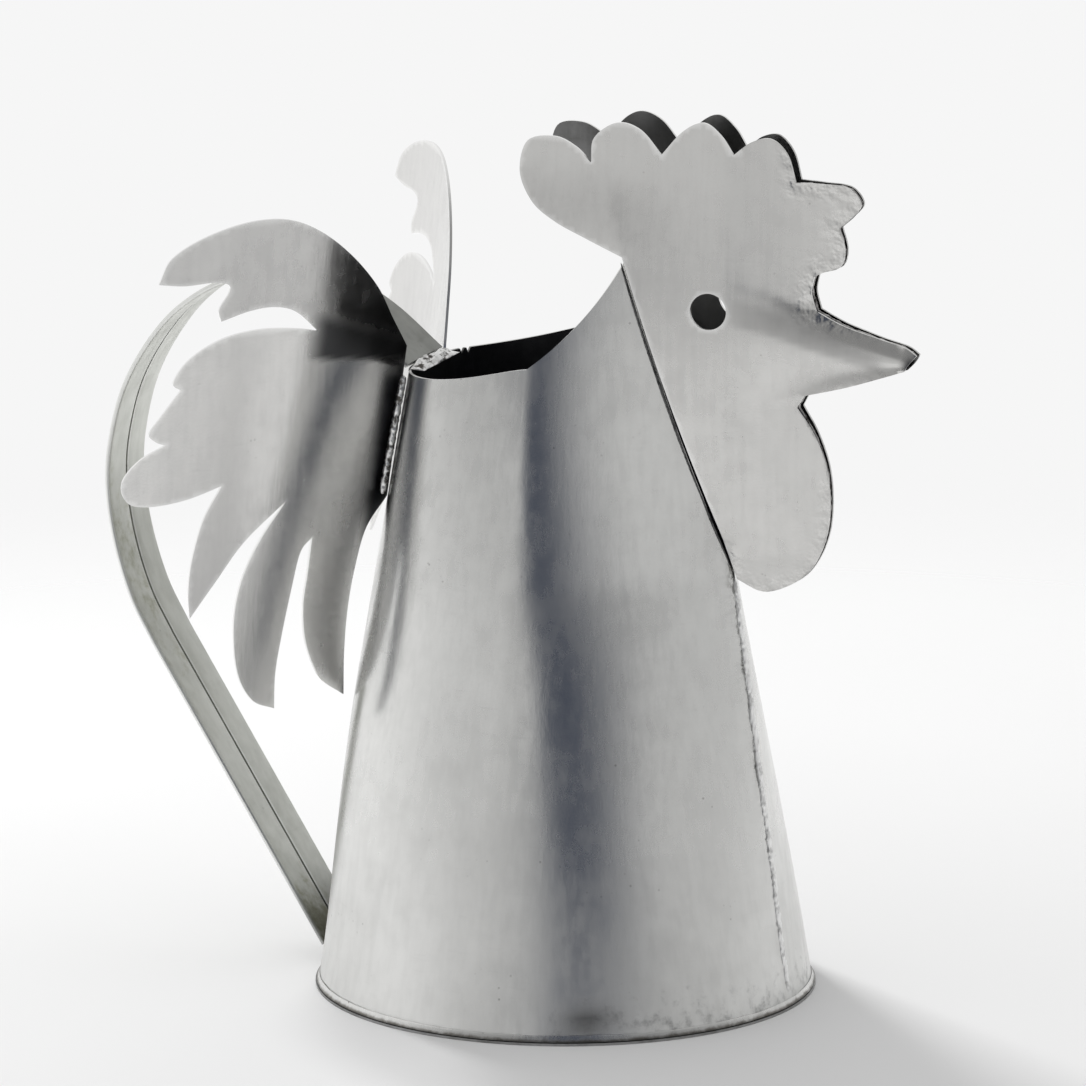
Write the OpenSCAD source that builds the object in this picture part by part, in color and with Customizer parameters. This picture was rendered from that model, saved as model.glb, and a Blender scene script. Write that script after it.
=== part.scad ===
// Rooster pitcher cut from galvanised sheet, bent by hand and joined with soft solder.
// Origin at the centre of the underside. The beak points along +X and the comb is up (+Z).
// The right side of the bird faces -Y. Each left sheet is cut as the mirror twin of the right
// one. Bending by hand made the sides differ: the body's front is pinched tighter on the right,
// and the left half of the tail is flatter and sits lower.

/* [Sheet] */
// Thickness of the sheet metal
sheet_t = 0.8; // [0.5:0.1:1.2]
// Film left between pieces that are soldered face to face
fit = 0.25; // [0.1:0.05:0.3]

/* [Body] */
// Diameter of the round foot
foot_d = 150; // [130:1:170]
// How far the base disc stands proud of the body all round
foot_lip = 0.9; // [0.6:0.1:1.5]
// Height of the low point of the rim, at the back
rim_z = 187; // [170:1:200]
// Height of the rim's horns, where it disappears under the head sheets
horn_z = 229; // [215:1:240]
// Height at which the front of the body ends, under the wattle
throat_z = 131.6; // [120:0.2:140]
// Distance from the axis to the back of the body at rim height
neck_back = 48; // [42:0.5:54]
// Distance from the axis to the front of the body at rim height
neck_front = 48; // [42:0.5:52]
// Half the width of the body at rim height
neck_side = 30; // [27:0.5:36]

/* [Head] */
// Length of a head sheet, from the back of the comb to the tip of the beak
head_l = 126; // [115:1:135]
// Height of a head sheet, from the bottom of the wattle to the top of the comb
head_h = 143.5; // [135:0.5:150]
// How far the back of the comb lies behind the axis
comb_back = 10; // [5:0.5:15]
// Height of the bottom of the wattle
wattle_z = 128; // [120:0.5:135]
// Diameter of the eye hole
eye_d = 11; // [8:0.5:14]
// Half the gap between the head sheets at the cheek, behind the eye
cheek_half = 7.6; // [6:0.1:9]
// Half the gap between the head sheets where they are soldered edge to edge
edge_half = 0.8; // [0.6:0.1:1.2]

/* [Tail] */
// Length of a tail half along its curve
tail_l = 96; // [85:1:105]
// Height of a tail half, from the lowest feather tip to the highest
tail_h = 156.5; // [140:0.5:170]
// How far below the rim the tail seams start
seam_l = 39; // [30:0.5:45]
// Bending radius of the right tail half
right_tail_r = 155; // [130:1:190]
// Angle between the start of the right tail half and straight back
right_tail_angle = 74; // [65:1:85]
// Angle by which the right tail half stands off the slope of the body's back
right_open_angle = 1.7; // [0.4:0.1:2.5]
// Bending radius of the left tail half
left_tail_r = 300; // [200:1:500]
// Angle between the start of the left tail half and straight back
left_tail_angle = 62; // [55:1:75]
// Angle by which the left tail half stands off the slope of the body's back
left_open_angle = 0.6; // [0.4:0.1:2.5]
// How much lower the left tail half sits
left_tail_drop = 7.5; // [0:0.5:10]
// Distance of each tail seam from the middle plane
seam_y = 14; // [13.5:0.25:16]

/* [Handle] */
// Width of the handle strip
handle_w = 25; // [18:0.5:26]
// Slit between the two folded edges, on the inner face
fold_slit = 1; // [0.5:0.1:2]
// How far the handle reaches behind the axis
handle_reach = 147; // [135:1:160]
// How far the top of the handle rises over the low point of the rim
handle_rise = 23.5; // [18:0.5:28]

/* [Solder] */
// Radius of the bead down the front of the body
front_bead_r = 1.1; // [0.8:0.1:1.5]
// Radius of the bead between the body and each tail half
tail_bead_r = 1.3; // [0.8:0.1:1.5]
// Radius of the bead along the edge of each head sheet
neck_bead_r = 0.6; // [0.4:0.1:0.8]
// Depth of the solder drawn in between the edges of the head sheets
edge_depth = 2; // [1.5:0.1:3]
// Radius of the bead across the foot of the handle
foot_bead_r = 1.2; // [0.8:0.1:1.6]

/* [Hidden] */
// Overrun of the cutting prisms past what they cut
over = 12;
// Radius of the body's outside at the foot
foot_r = foot_d / 2 - foot_lip;
// Power of the back half of the section: 2 is an ellipse and more is boxier
round_power = 2;
back_power_top = 2.6;
// Share of each front quarter of the section that is drawn into a wedge at the throat
right_wedge_share = 0.5;
left_wedge_share = 0.25;
// How far each horn of the rim reaches under its head sheet
horn_lap = 1;
// How fast the rim sweeps up to the horns
rim_sweep_power = 3.4;
// Columns of the body's mesh on each side, in front of the horn and behind it, and its levels
front_columns = 8;
back_columns = 28;
levels = 8;
// Steps along each smooth stretch of an outline
steps = 4;

function clamp01(t) = min(1, max(0, t));
function ease(t) = let (c = clamp01(t)) c * c * (3 - 2 * c);
function mix(a, b, t) = a + (b - a) * t;

// The section of the body at height z has half-axes that shrink evenly with z. Its back half is
// a superellipse that grows boxier, and its front half is an ellipse drawn out to a wedge.
function back_r(z) = mix(foot_r, neck_back, z / rim_z);
function front_r(z) = mix(foot_r, neck_front, z / rim_z);
function side_r(z) = mix(foot_r, neck_side, z / rim_z);
// The back is fully boxy at this share of the rim's height
boxy_share = 0.53;
function back_power(z) = mix(round_power, back_power_top, ease(z / (boxy_share * rim_z)));
// The wedge forms slowly at the foot and faster towards the throat
function wedge_share(z, left) =
    (left ? left_wedge_share : right_wedge_share) * pow(clamp01(z / throat_z), 2);
function shell_point(a, z, inset) =
    let (ry = side_r(z) - inset, p = 2 / back_power(z), w = wedge_share(z, sin(a) > 0))
    cos(a) >= 0
    ? [(front_r(z) - inset) * mix(cos(a), 1 - abs(sin(a)), w), ry * sin(a), z]
    : [(inset - back_r(z)) * pow(-cos(a), p), ry * sign(sin(a)) * pow(abs(sin(a)), p), z];
// Section angle at which a front quarter reaches x ahead of the axis
function front_angle(x, z, left) =
    let (w = wedge_share(z, left), reach = norm([1 - w, w]), turn = atan2(w, 1 - w),
         q = (x / front_r(z) - w) / reach)
    q >= cos(turn) ? 0 : acos(q) - turn;
// Distance of the front wall from the middle plane, at x ahead of the axis
function front_y(x, z, left) = side_r(z) * sin(front_angle(x, z, left));
// Distance of the back wall behind the axis, at y from the middle plane
function back_x(y, z) =
    let (n = back_power(z)) back_r(z) * pow(1 - pow(abs(y) / side_r(z), n), 1 / n);
// The rim sweeps up from the back to the horns, then falls under the head sheets
function rim_at(a) =
    let (b = abs(a > 180 ? a - 360 : a), h = horn_angle(a < 180))
    b < h ? mix(throat_z, horn_z, b / h)
    : rim_z + (horn_z - rim_z) * pow((180 - b) / (180 - h), rim_sweep_power);

// A closed outline through knots. A knot with a third value of 1 is a corner.
// Between knots it runs as a cubic curve whose slopes come from the neighbouring knots.
function slope_at(k, i, next) =
    let (n = len(k), j = next ? (i + 1) % n : (i + n - 1) % n, p = [k[i][0], k[i][1]],
         q = [k[j][0], k[j][1]], m = next ? (i + n - 1) % n : (i + 1) % n, o = [k[m][0], k[m][1]])
    k[i][2] == 1 ? (next ? q - p : p - q) : (next ? (q - o) / 2 : (o - q) / 2);
function cubic(p, q, u, v, t) =
    let (t2 = t * t, t3 = t2 * t)
    p * (2 * t3 - 3 * t2 + 1) + u * (t3 - 2 * t2 + t) + q * (3 * t2 - 2 * t3) + v * (t3 - t2);
function smooth_loop(k) =
    [for (i = [0 : len(k) - 1])
        let (j = (i + 1) % len(k), p = [k[i][0], k[i][1]], q = [k[j][0], k[j][1]],
             straight = k[i][2] == 1 && k[j][2] == 1, n = straight ? 1 : steps)
        for (s = [0 : n - 1]) cubic(p, q, slope_at(k, i, true), slope_at(k, j, false), s / n)];
// The same through an open run of knots, whose ends are corners
function smooth_run(k, n) =
    concat([for (i = [0 : len(k) - 2])
        let (p = k[i], q = k[i + 1],
             u = i == 0 ? q - p : (q - k[i - 1]) / 2,
             v = i == len(k) - 2 ? q - p : (k[i + 2] - p) / 2)
        for (s = [0 : n - 1]) cubic(p, q, u, v, s / n)], [k[len(k) - 1]]);

// Points of the head that other pieces use too, as shares of its length and height
notch_share = [0.687, 0.888, 1];
beak_root_top_share = [0.74, 0.617, 1];
beak_tip_top_share = [0.998, 0.544, 1];
beak_tip_low_share = [0.967, 0.508, 1];
beak_root_low_share = [0.709, 0.433, 1];
eye_share = [0.484, 0.603];
// Outline of a head sheet in the same shares, from the horn round the comb, the forehead, the
// beak and the wattle to the throat
head_shares = [
    [0.275, 0.707, 1], [0.183, 0.739], [0.103, 0.768], [0.04, 0.805], [0.003, 0.865],
    [0.02, 0.93], [0.087, 0.944], [0.141, 0.926], [0.181, 0.895, 1],
    [0.187, 0.948], [0.242, 0.984], [0.302, 0.973], [0.356, 0.924, 1],
    [0.409, 0.978], [0.46, 1], [0.504, 0.976], [0.536, 0.937, 1],
    [0.579, 0.967], [0.627, 0.976], [0.667, 0.944], notch_share,
    [0.754, 0.889], [0.821, 0.886], [0.853, 0.854], [0.829, 0.824], [0.797, 0.798, 1],
    [0.811, 0.753], [0.8, 0.716], [0.758, 0.701], [0.735, 0.69, 1],
    [0.728, 0.655], beak_root_top_share, [0.81, 0.592], [0.905, 0.571], [0.968, 0.559],
    beak_tip_top_share, beak_tip_low_share, [0.897, 0.485], [0.81, 0.458], beak_root_low_share,
    [0.692, 0.405, 1], [0.734, 0.35], [0.765, 0.279], [0.773, 0.195], [0.76, 0.122],
    [0.722, 0.058], [0.667, 0.02], [0.599, 0.001], [0.532, 0.021, 1]];
function head_place(p) = [p[0] * head_l - comb_back, p[1] * head_h + wattle_z, p[2]];
head_outline = smooth_loop([for (p = head_shares) head_place(p)]);
horn = head_place(head_shares[0]);
throat = head_place(head_shares[len(head_shares) - 1]);
eye = head_place(eye_share);
function horn_angle(left) = front_angle(horn[0] + horn_lap, horn_z, left);
notch = head_place(notch_share);
beak_root_top = head_place(beak_root_top_share);
beak_root_low = head_place(beak_root_low_share);
beak_tip_top = head_place(beak_tip_top_share);
beak_tip_low = head_place(beak_tip_low_share);
// The cheek's crease runs from here to the beak, and the sheets are creased outwards along it.
// Its slope is how fast it falls forwards.
crease_share = [0.635, 0.55];
crease_x = head_place(crease_share)[0];
crease_z = head_place(crease_share)[1];
crease_slope = 0.09;
// How fast the gap between the sheets narrows forwards, below the crease and above it
toe_slope = 0.08;
low_slope = 0.09;
up_slope = 0.045;
// Width of the band in which the head sheet flares out onto the body, and in which it
// straightens again above the horn
flare_l = 20;
flare_fade = 12;
// Length of the band in which the face narrows to the beak
face_l = 16;
function crease_at(x) = crease_z - crease_slope * max(x - crease_x, 0);
function ridge_half(x) = cheek_half - toe_slope * (x - eye[0]);
function flat_half(x, z) =
    let (d = z - crease_at(x)) ridge_half(x) + (d < 0 ? low_slope * d : -up_slope * d);
// The sheets close to the soldered edges above and below the beak
function beak_half(x, z) =
    let (d = z - crease_at(x),
         top = mix(beak_root_top[1] - crease_at(beak_root_top[0]),
                   beak_tip_top[1] - crease_at(beak_tip_top[0]),
                   (x - beak_root_top[0]) / (beak_tip_top[0] - beak_root_top[0])),
         low = mix(crease_at(beak_root_low[0]) - beak_root_low[1],
                   crease_at(beak_tip_low[0]) - beak_tip_low[1],
                   (x - beak_root_low[0]) / (beak_tip_low[0] - beak_root_low[0])),
         t = clamp01(d > 0 ? d / max(top, sheet_t) : -d / max(low, sheet_t)))
    edge_half + (ridge_half(x) - edge_half) * (1 - t * t);
// The seam is the straight lower back edge of the sheet, from horn to throat
function seam_x(z) = mix(throat[0], horn[0], (z - throat[1]) / (horn[1] - throat[1]));
function flare_at(z, left) =
    z > horn[1] ? flare_at(horn[1], left) * (1 - ease((z - horn[1]) / flare_fade))
    : front_y(seam_x(z), z, left) + fit - flat_half(seam_x(z), z);
function ahead_of_seam(x, z) =
    let (run = horn - throat, l = norm([run[0], run[1]]))
    ((x - throat[0]) * run[1] - (z - throat[1]) * run[0]) / l;
// Distance of a head sheet's inner face from the middle plane
function head_half(x, z, left) =
    let (near = pow(1 - clamp01(ahead_of_seam(x, z) / flare_l), 2),
         face = flat_half(x, z) + flare_at(z, left) * near,
         half = mix(face, beak_half(x, z), ease((x - crease_x) / face_l)))
    max(half, edge_half / 2);

// Heights of the two ends of a tail half's seam, as shares of its height
seam_low_share = 0.39;
seam_top_share = 0.69;
// Outline of a tail half rolled out flat, as shares of its length and height. It starts at
// the top of the seam, runs out along the top feather and comes back feather by feather.
tail_shares = [
    [0, seam_top_share, 1], [0.083, 0.755], [0.169, 0.827], [0.292, 0.901], [0.427, 0.962],
    [0.552, 0.995], [0.688, 0.999], [0.826, 0.977], [0.927, 0.939], [0.959, 0.889, 1],
    [0.875, 0.883], [0.781, 0.885], [0.731, 0.878], [0.725, 0.861], [0.751, 0.829],
    [0.739, 0.805, 1], [0.646, 0.82], [0.56, 0.822], [0.48, 0.806], [0.389, 0.76, 1],
    [0.472, 0.772], [0.604, 0.78], [0.729, 0.769], [0.828, 0.734], [0.872, 0.69],
    [0.844, 0.673, 1], [0.9, 0.621], [0.929, 0.59], [0.904, 0.573], [0.871, 0.565, 1],
    [0.95, 0.537], [0.996, 0.494], [0.969, 0.454], [0.896, 0.443], [0.781, 0.451],
    [0.664, 0.472, 1], [0.712, 0.406], [0.733, 0.326], [0.731, 0.262], [0.715, 0.21, 1],
    [0.644, 0.277], [0.557, 0.354], [0.423, 0.425, 1], [0.5, 0.353], [0.55, 0.273],
    [0.558, 0.185], [0.521, 0.086], [0.453, 0.026], [0.367, 0.002, 1], [0.38, 0.073],
    [0.375, 0.147], [0.36, 0.243], [0.344, 0.313], [0.305, 0.34, 1], [0.304, 0.268],
    [0.304, 0.198], [0.271, 0.12], [0.193, 0.045], [0.082, 0, 1], [0.104, 0.083],
    [0.115, 0.169], [0.108, 0.252], [0.079, 0.335], [0, seam_low_share, 1]];
seam_low_z = rim_z - seam_l;
// A tail half leans forward with the back of the body, less the angle at which it stands off
function back_lean(drop) =
    let (low = seam_low_z - drop)
    atan2(back_x(seam_y, low) - back_x(seam_y, rim_z), rim_z - low);
// How a tail half is bent and set: start angle, radius, lean and drop
right_bend = [right_tail_angle, right_tail_r, back_lean(0) - right_open_angle, 0];
left_bend = [left_tail_angle, left_tail_r, back_lean(left_tail_drop) - left_open_angle,
             left_tail_drop];
// The seam touches the body at its lower end
function seam_back(bend) = back_x(seam_y, seam_low_z - bend[3]) + sheet_t / 2 + fit;
// Distance behind and beside the seam after length s along the curve
function turned(s, bend) = bend[0] - s / bend[1] * 180 / PI;
function tail_back(s, bend) = bend[1] * (sin(bend[0]) - sin(turned(s, bend)));
function tail_side(s, bend) = bend[1] * (cos(turned(s, bend)) - cos(bend[0]));
function chord_angle(bend) = atan2(tail_side(tail_l, bend), tail_back(tail_l, bend));
function tail_place(p, bend) =
    let (s = p[0] * tail_l, back = tail_back(s, bend), chord = chord_angle(bend),
         rise = (p[1] - seam_low_share) * tail_h)
    [back * cos(chord) + tail_side(s, bend) * sin(chord),
     rise / cos(bend[2]) - back * sin(bend[2]), p[2]];

// Route of the handle in the middle plane after its start on the rim, as shares of its reach
// behind the rim and of its height over the foot
handle_top_z = rim_z + handle_rise;
handle_shares = [
    [0.15, 0.95], [0.3, 0.985], [0.455, 1], [0.61, 0.989], [0.755, 0.945],
    [0.86, 0.888], [0.945, 0.815], [0.99, 0.735], [1, 0.665], [0.975, 0.585],
    [0.92, 0.505], [0.845, 0.44]];
// The handle ends over the bead at its foot, which lies just over the solder of the base
foot_bead_z = sheet_t + 2 * fit + 2 * foot_lip + foot_bead_r / 2;
handle_foot_z = foot_bead_z + sheet_t + fit + foot_bead_r / 2;
handle_start = neck_back - 2 * sheet_t;
function handle_place(p) = [-mix(handle_start, handle_reach, p[0]), p[1] * handle_top_z];
handle_knots = concat([[-handle_start, rim_z + 2 * sheet_t]],
                      [for (p = handle_shares) handle_place(p)]);
handle_route = concat(smooth_run(handle_knots, steps),
                      [[-back_r(handle_foot_z) - 2 * sheet_t - fit, handle_foot_z]]);

// A band of even thickness to the left of a route in the plane
function normal_at(r, i) =
    let (n = len(r) - 1, d = r[min(i + 1, n)] - r[max(i - 1, 0)]) [-d[1], d[0]] / norm(d);
function beside(r, off) = [for (i = [0 : len(r) - 1]) r[i] + normal_at(r, i) * off];
function lengthened(r, by) =
    let (n = len(r) - 1, head = r[0] - r[1], tail = r[n] - r[n - 1])
    concat([r[0] + head / norm(head) * by], r, [r[n] + tail / norm(tail) * by]);
function reversed(r) = [for (i = [len(r) - 1 : -1 : 0]) r[i]];
module band(r, from, to) {
    polygon(concat(beside(r, from), reversed(beside(r, to))));
}

// Share by which a hand-laid bead swells and thins along its run
swell_share = 0.14;
function swell(angle) = 1 - swell_share + swell_share * sin(angle);
// Room that a bead needs across a corner, as a share of its radius and film
corner_share = 2.3;

// A bead of solder along a path, with its own radius at each point
module bead(path, radii, sides = 8) {
    n = len(path);
    function aim(i) = let (d = path[min(i + 1, n - 1)] - path[max(i - 1, 0)]) d / norm(d);
    function ring(i) =
        let (t = aim(i), ref = abs(t[2]) > 0.5 ? [1, 0, 0] : [0, 0, 1],
             c = cross(t, ref), u = c / norm(c), v = cross(t, u))
        [for (k = [0 : sides - 1])
            path[i] + radii[i] * (u * cos(k * 360 / sides) + v * sin(k * 360 / sides))];
    points = [for (i = [0 : n - 1]) for (p = ring(i)) p];
    walls = [for (i = [0 : n - 2]) for (k = [0 : sides - 1])
        let (a = i * sides + k, b = i * sides + (k + 1) % sides)
        for (f = [[a, b + sides, b], [a, a + sides, b + sides]]) f];
    low_cap = [for (k = [1 : sides - 2]) [0, k, k + 1]];
    last = (n - 1) * sides;
    top_cap = [for (k = [1 : sides - 2]) [last, last + k + 1, last + k]];
    polyhedron(points, concat(walls, low_cap, top_cap));
}

// A sheet given by its distance from the middle plane over a grid of x and z
module curved_sheet(x0, x1, z0, z1, nx, nz, left) {
    function cell(i, j, t) =
        let (x = mix(x0, x1, i / nx), z = mix(z0, z1, j / nz)) [x, -head_half(x, z, left) - t, z];
    row = nz + 1;
    face = (nx + 1) * row;
    points = [for (t = [0, sheet_t]) for (i = [0 : nx]) for (j = [0 : nz]) cell(i, j, t)];
    grid = [for (i = [0 : nx - 1]) for (j = [0 : nz - 1])
        let (a = i * row + j, b = a + row)
        for (f = [[a, a + 1, b + 1], [a, b + 1, b],
                  [face + a, face + b + 1, face + a + 1], [face + a, face + b, face + b + 1]]) f];
    ends = [for (j = [0 : nz - 1]) let (b = nx * row + j)
        for (f = [[j, face + j, face + j + 1], [j, face + j + 1, j + 1],
                  [b, face + b + 1, face + b], [b, b + 1, face + b + 1]]) f];
    sides = [for (i = [0 : nx - 1]) let (a = i * row, b = a + row, c = a + nz, d = c + row)
        for (f = [[a, face + b, face + a], [a, b, face + b],
                  [c, face + c, face + d], [c, face + d, d]]) f];
    polyhedron(points, concat(grid, ends, sides));
}

// A four-sided cell, cut along the diagonal that starts at its first corner
function cell_halves(c) = [[c[0], c[1], c[2]], [c[0], c[2], c[3]]];

module body_shell() {
    ring = 2 * (front_columns + back_columns);
    skin = (levels + 1) * ring;
    function side_angle(k, h) =
        k < front_columns ? h * k / front_columns
        : mix(h, 180, (k - front_columns) / back_columns);
    function angle_of(c) =
        c < ring / 2 ? side_angle(c, horn_angle(true)) : 360 - side_angle(ring - c, horn_angle(false));
    function z_of(a, k) = mix(sheet_t + fit, rim_at(a), k / levels);
    points = [for (inset = [0, sheet_t]) for (k = [0 : levels]) for (c = [0 : ring - 1])
        shell_point(angle_of(c), z_of(angle_of(c), k), inset)];
    // A cell under a rising rim is skewed one way and under a falling rim the other, so each is
    // cut along its short diagonal
    function rises(c) = rim_at(angle_of((c + 1) % ring)) > rim_at(angle_of(c));
    walls = [for (k = [0 : levels - 1]) for (c = [0 : ring - 1])
        let (a = k * ring + c, b = k * ring + (c + 1) % ring, turned = rises(c))
        for (f = concat(
            cell_halves(turned ? [a + ring, b + ring, b, a] : [a, a + ring, b + ring, b]),
            cell_halves(turned ? [skin + a + ring, skin + a, skin + b, skin + b + ring]
                        : [skin + a, skin + b, skin + b + ring, skin + a + ring]))) f];
    rims = [for (c = [0 : ring - 1]) let (d = (c + 1) % ring, t = levels * ring)
        for (f = [[c, d, skin + d], [c, skin + d, skin + c],
                  [t + c, skin + t + d, t + d], [t + c, skin + t + c, skin + t + d]]) f];
    color("silver") polyhedron(points, concat(walls, rims));
}

module base_disc() {
    color("darkgray") cylinder(h = sheet_t, d = foot_d, $fn = 120);
}

module base_solder() {
    low = sheet_t + fit;
    color("dimgray") rotate_extrude($fn = 120)
        polygon([[foot_r + fit, low], [foot_d / 2, low], [foot_r + fit, low + 2 * foot_lip]]);
}

module front_seam_solder() {
    n = 24;
    low = sheet_t + 2 * foot_lip + 2 * fit;
    function z_of(i) = mix(low + front_bead_r, throat_z - front_bead_r, i / n);
    function r_of(i) = front_bead_r * swell(i * 110);
    path = [for (i = [0 : n]) [front_r(z_of(i)) + fit + r_of(i), 0, z_of(i)]];
    color("lightgray") bead(path, [for (i = [0 : n]) r_of(i)]);
}

module head_prism() {
    rotate([90, 0, 0]) linear_extrude(height = 2 * over)
        difference() {
            polygon([for (p = head_outline) [p[0], p[1]]]);
            translate([eye[0], eye[1]]) circle(d = eye_d, $fn = 48);
        }
}

module head_sheet(left) {
    intersection() {
        curved_sheet(-comb_back - sheet_t, head_l, wattle_z - sheet_t,
                     wattle_z + head_h + sheet_t, 20, 22, left);
        head_prism();
    }
}

module head_sheet_right() {
    color("gainsboro") head_sheet(false);
}

module head_sheet_left() {
    color("gainsboro") mirror([0, 1, 0]) head_sheet(true);
}

// Solder drawn in between the edges of the two head sheets, inside a window of the outline
module edge_solder(low, high, back) {
    thick = 2 * (edge_half / 2 - fit / 2);
    rotate([90, 0, 0]) translate([0, 0, -thick / 2]) linear_extrude(height = thick)
        intersection() {
            difference() {
                polygon([for (p = head_outline) [p[0], p[1]]]);
                offset(delta = -edge_depth) polygon([for (p = head_outline) [p[0], p[1]]]);
            }
            translate([back, low]) square([head_l, high - low]);
        }
}

module forehead_solder() {
    color("lightgray") edge_solder(crease_at(beak_tip_top[0]), notch[1] + edge_depth, notch[0]);
}

module wattle_solder() {
    color("lightgray") edge_solder(wattle_z, beak_tip_low[1], throat[0] + edge_depth);
}

module neck_solder(left) {
    n = 14;
    end = 6 * neck_bead_r;
    path = [for (i = [0 : n])
        let (z = mix(throat[1] + end, horn[1] - end / 2, i / n),
             x = seam_x(z) - neck_bead_r - 2 * fit)
        [x, -front_y(x, z, left) - fit - neck_bead_r, z]];
    bead(path, [for (i = [0 : n]) neck_bead_r * swell(i * 97)], 6);
}

module neck_solder_right() {
    color("dimgray") neck_solder(false);
}

module neck_solder_left() {
    color("dimgray") mirror([0, 1, 0]) neck_solder(true);
}

// A curved wall on the tail's bending radius, cut to the feather outline
module tail_half(bend) {
    centre = [-sin(bend[0]), cos(bend[0])] * bend[1];
    flat = smooth_loop([for (p = tail_shares) tail_place(p, bend)]);
    translate([-seam_back(bend), -seam_y, seam_low_z - bend[3]]) rotate([0, bend[2], 0])
        intersection() {
            translate([centre[0], centre[1], -tail_h]) linear_extrude(height = 2 * tail_h)
                difference() {
                    circle(r = bend[1] + sheet_t / 2, $fn = 240);
                    circle(r = bend[1] - sheet_t / 2, $fn = 240);
                }
            rotate([0, 0, 180 + chord_angle(bend)]) rotate([90, 0, 0])
                translate([0, 0, -over]) linear_extrude(height = 2 * over)
                    polygon([for (p = flat) [p[0], p[1]]]);
        }
}

module tail_half_right() {
    color("silver") tail_half(right_bend);
}

module tail_half_left() {
    color("silver") mirror([0, 1, 0]) tail_half(left_bend);
}

// The bead lies in the corner between the back of the body and the tail, as far out as it needs
// to fit in. The room between the two grows with y.
module tail_solder(bend) {
    n = 14;
    low = seam_low_z - bend[3];
    function z_of(i) = mix(low + 2 * sheet_t, rim_z - sheet_t, i / n);
    function wall_x(y, z) =
        seam_back(bend) - (z - low) * tan(bend[2]) + (y - seam_y) / tan(bend[0]);
    function room(y, z) = wall_x(y, z) - sheet_t / 2 - back_x(y, z);
    function growth(z) = (room(seam_y + 4 * sheet_t, z) - room(seam_y, z)) / (4 * sheet_t);
    function y_at(z) =
        seam_y + (corner_share * (tail_bead_r + fit) - room(seam_y, z)) / growth(z);
    path = [for (i = [0 : n]) let (z = z_of(i), y = y_at(z))
        [-back_x(y, z) - room(y, z) / 2, -y, z]];
    bead(path, [for (i = [0 : n]) tail_bead_r * swell(i * 125)]);
}

module tail_solder_right() {
    color("dimgray") tail_solder(right_bend);
}

module tail_solder_left() {
    color("dimgray") mirror([0, 1, 0]) tail_solder(left_bend);
}

// A strip whose two long edges are folded back under it and nearly meet at the middle
module handle_strip() {
    color("silver") rotate([90, 0, 0]) difference() {
        translate([0, 0, -handle_w / 2]) linear_extrude(height = handle_w)
            band(handle_route, 0, 2 * sheet_t);
        translate([0, 0, -fold_slit / 2]) linear_extrude(height = fold_slit)
            band(lengthened(handle_route, over), sheet_t, 3 * sheet_t);
    }
}

// A crumpled patch of solder that ties the end of the strip to the rim
module handle_top_solder() {
    half = seam_y - 2 * sheet_t;
    start = handle_route[0];
    color("lightgray") rotate([90, 0, 0]) translate([0, 0, -half]) linear_extrude(height = 2 * half)
        polygon([[start[0] + fit, rim_z + fit], [start[0] + fit, start[1] + sheet_t],
                 [start[0] + 6 * sheet_t, rim_z + sheet_t], [start[0] + 6 * sheet_t, rim_z + fit]]);
}

module handle_foot_solder() {
    n = 10;
    half = handle_w / 2;
    z = foot_bead_z;
    path = [for (i = [0 : n]) let (y = mix(-half, half, i / n))
        [-back_x(y, z) - fit - foot_bead_r, y, z]];
    color("dimgray") bead(path, [for (i = [0 : n]) foot_bead_r * swell(i * 140)]);
}

body_shell();
base_disc();
base_solder();
front_seam_solder();
head_sheet_right();
head_sheet_left();
forehead_solder();
wattle_solder();
neck_solder_right();
neck_solder_left();
tail_half_right();
tail_half_left();
tail_solder_right();
tail_solder_left();
handle_strip();
handle_top_solder();
handle_foot_solder();
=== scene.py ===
# %% [markdown]
# # A rooster pitcher in bare galvanised sheet
#
# This lesson dresses a jug that a tinsmith cut from sheet steel, bent by hand and joined with soft
# solder. Seventeen solids come in as a fixed frame. Each cell works out one real piece as a
# surface, gives it a finish and says why it is made that way.

import bpy
import numpy as np
from mathutils import Matrix, Vector, geometry


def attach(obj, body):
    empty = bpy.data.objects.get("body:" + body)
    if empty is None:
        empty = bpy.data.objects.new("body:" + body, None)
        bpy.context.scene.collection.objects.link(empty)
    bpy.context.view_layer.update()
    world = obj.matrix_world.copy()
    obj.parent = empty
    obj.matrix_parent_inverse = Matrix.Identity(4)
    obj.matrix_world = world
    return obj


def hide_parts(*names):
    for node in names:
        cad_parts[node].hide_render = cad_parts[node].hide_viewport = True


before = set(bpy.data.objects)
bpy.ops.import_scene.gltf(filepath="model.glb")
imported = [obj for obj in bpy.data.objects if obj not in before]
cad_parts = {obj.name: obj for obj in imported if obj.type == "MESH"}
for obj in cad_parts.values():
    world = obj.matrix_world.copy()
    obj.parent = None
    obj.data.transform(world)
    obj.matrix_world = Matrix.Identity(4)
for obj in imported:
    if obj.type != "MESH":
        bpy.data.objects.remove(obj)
scene = bpy.context.scene
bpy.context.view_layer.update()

# %% [markdown]
# ## The sizes of the jug
#
# All sizes are in millimetres, as a tinsmith would measure them, and one factor brings them to
# Blender's metres. The values are those of the solids, so each surface lies on its solid. A bend
# of the tail has its first direction, its radius, the angle at which it stands off the body's
# back, how much lower it sits, and three values for its shading alone. A side is the sign of y
# and a name.

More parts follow.
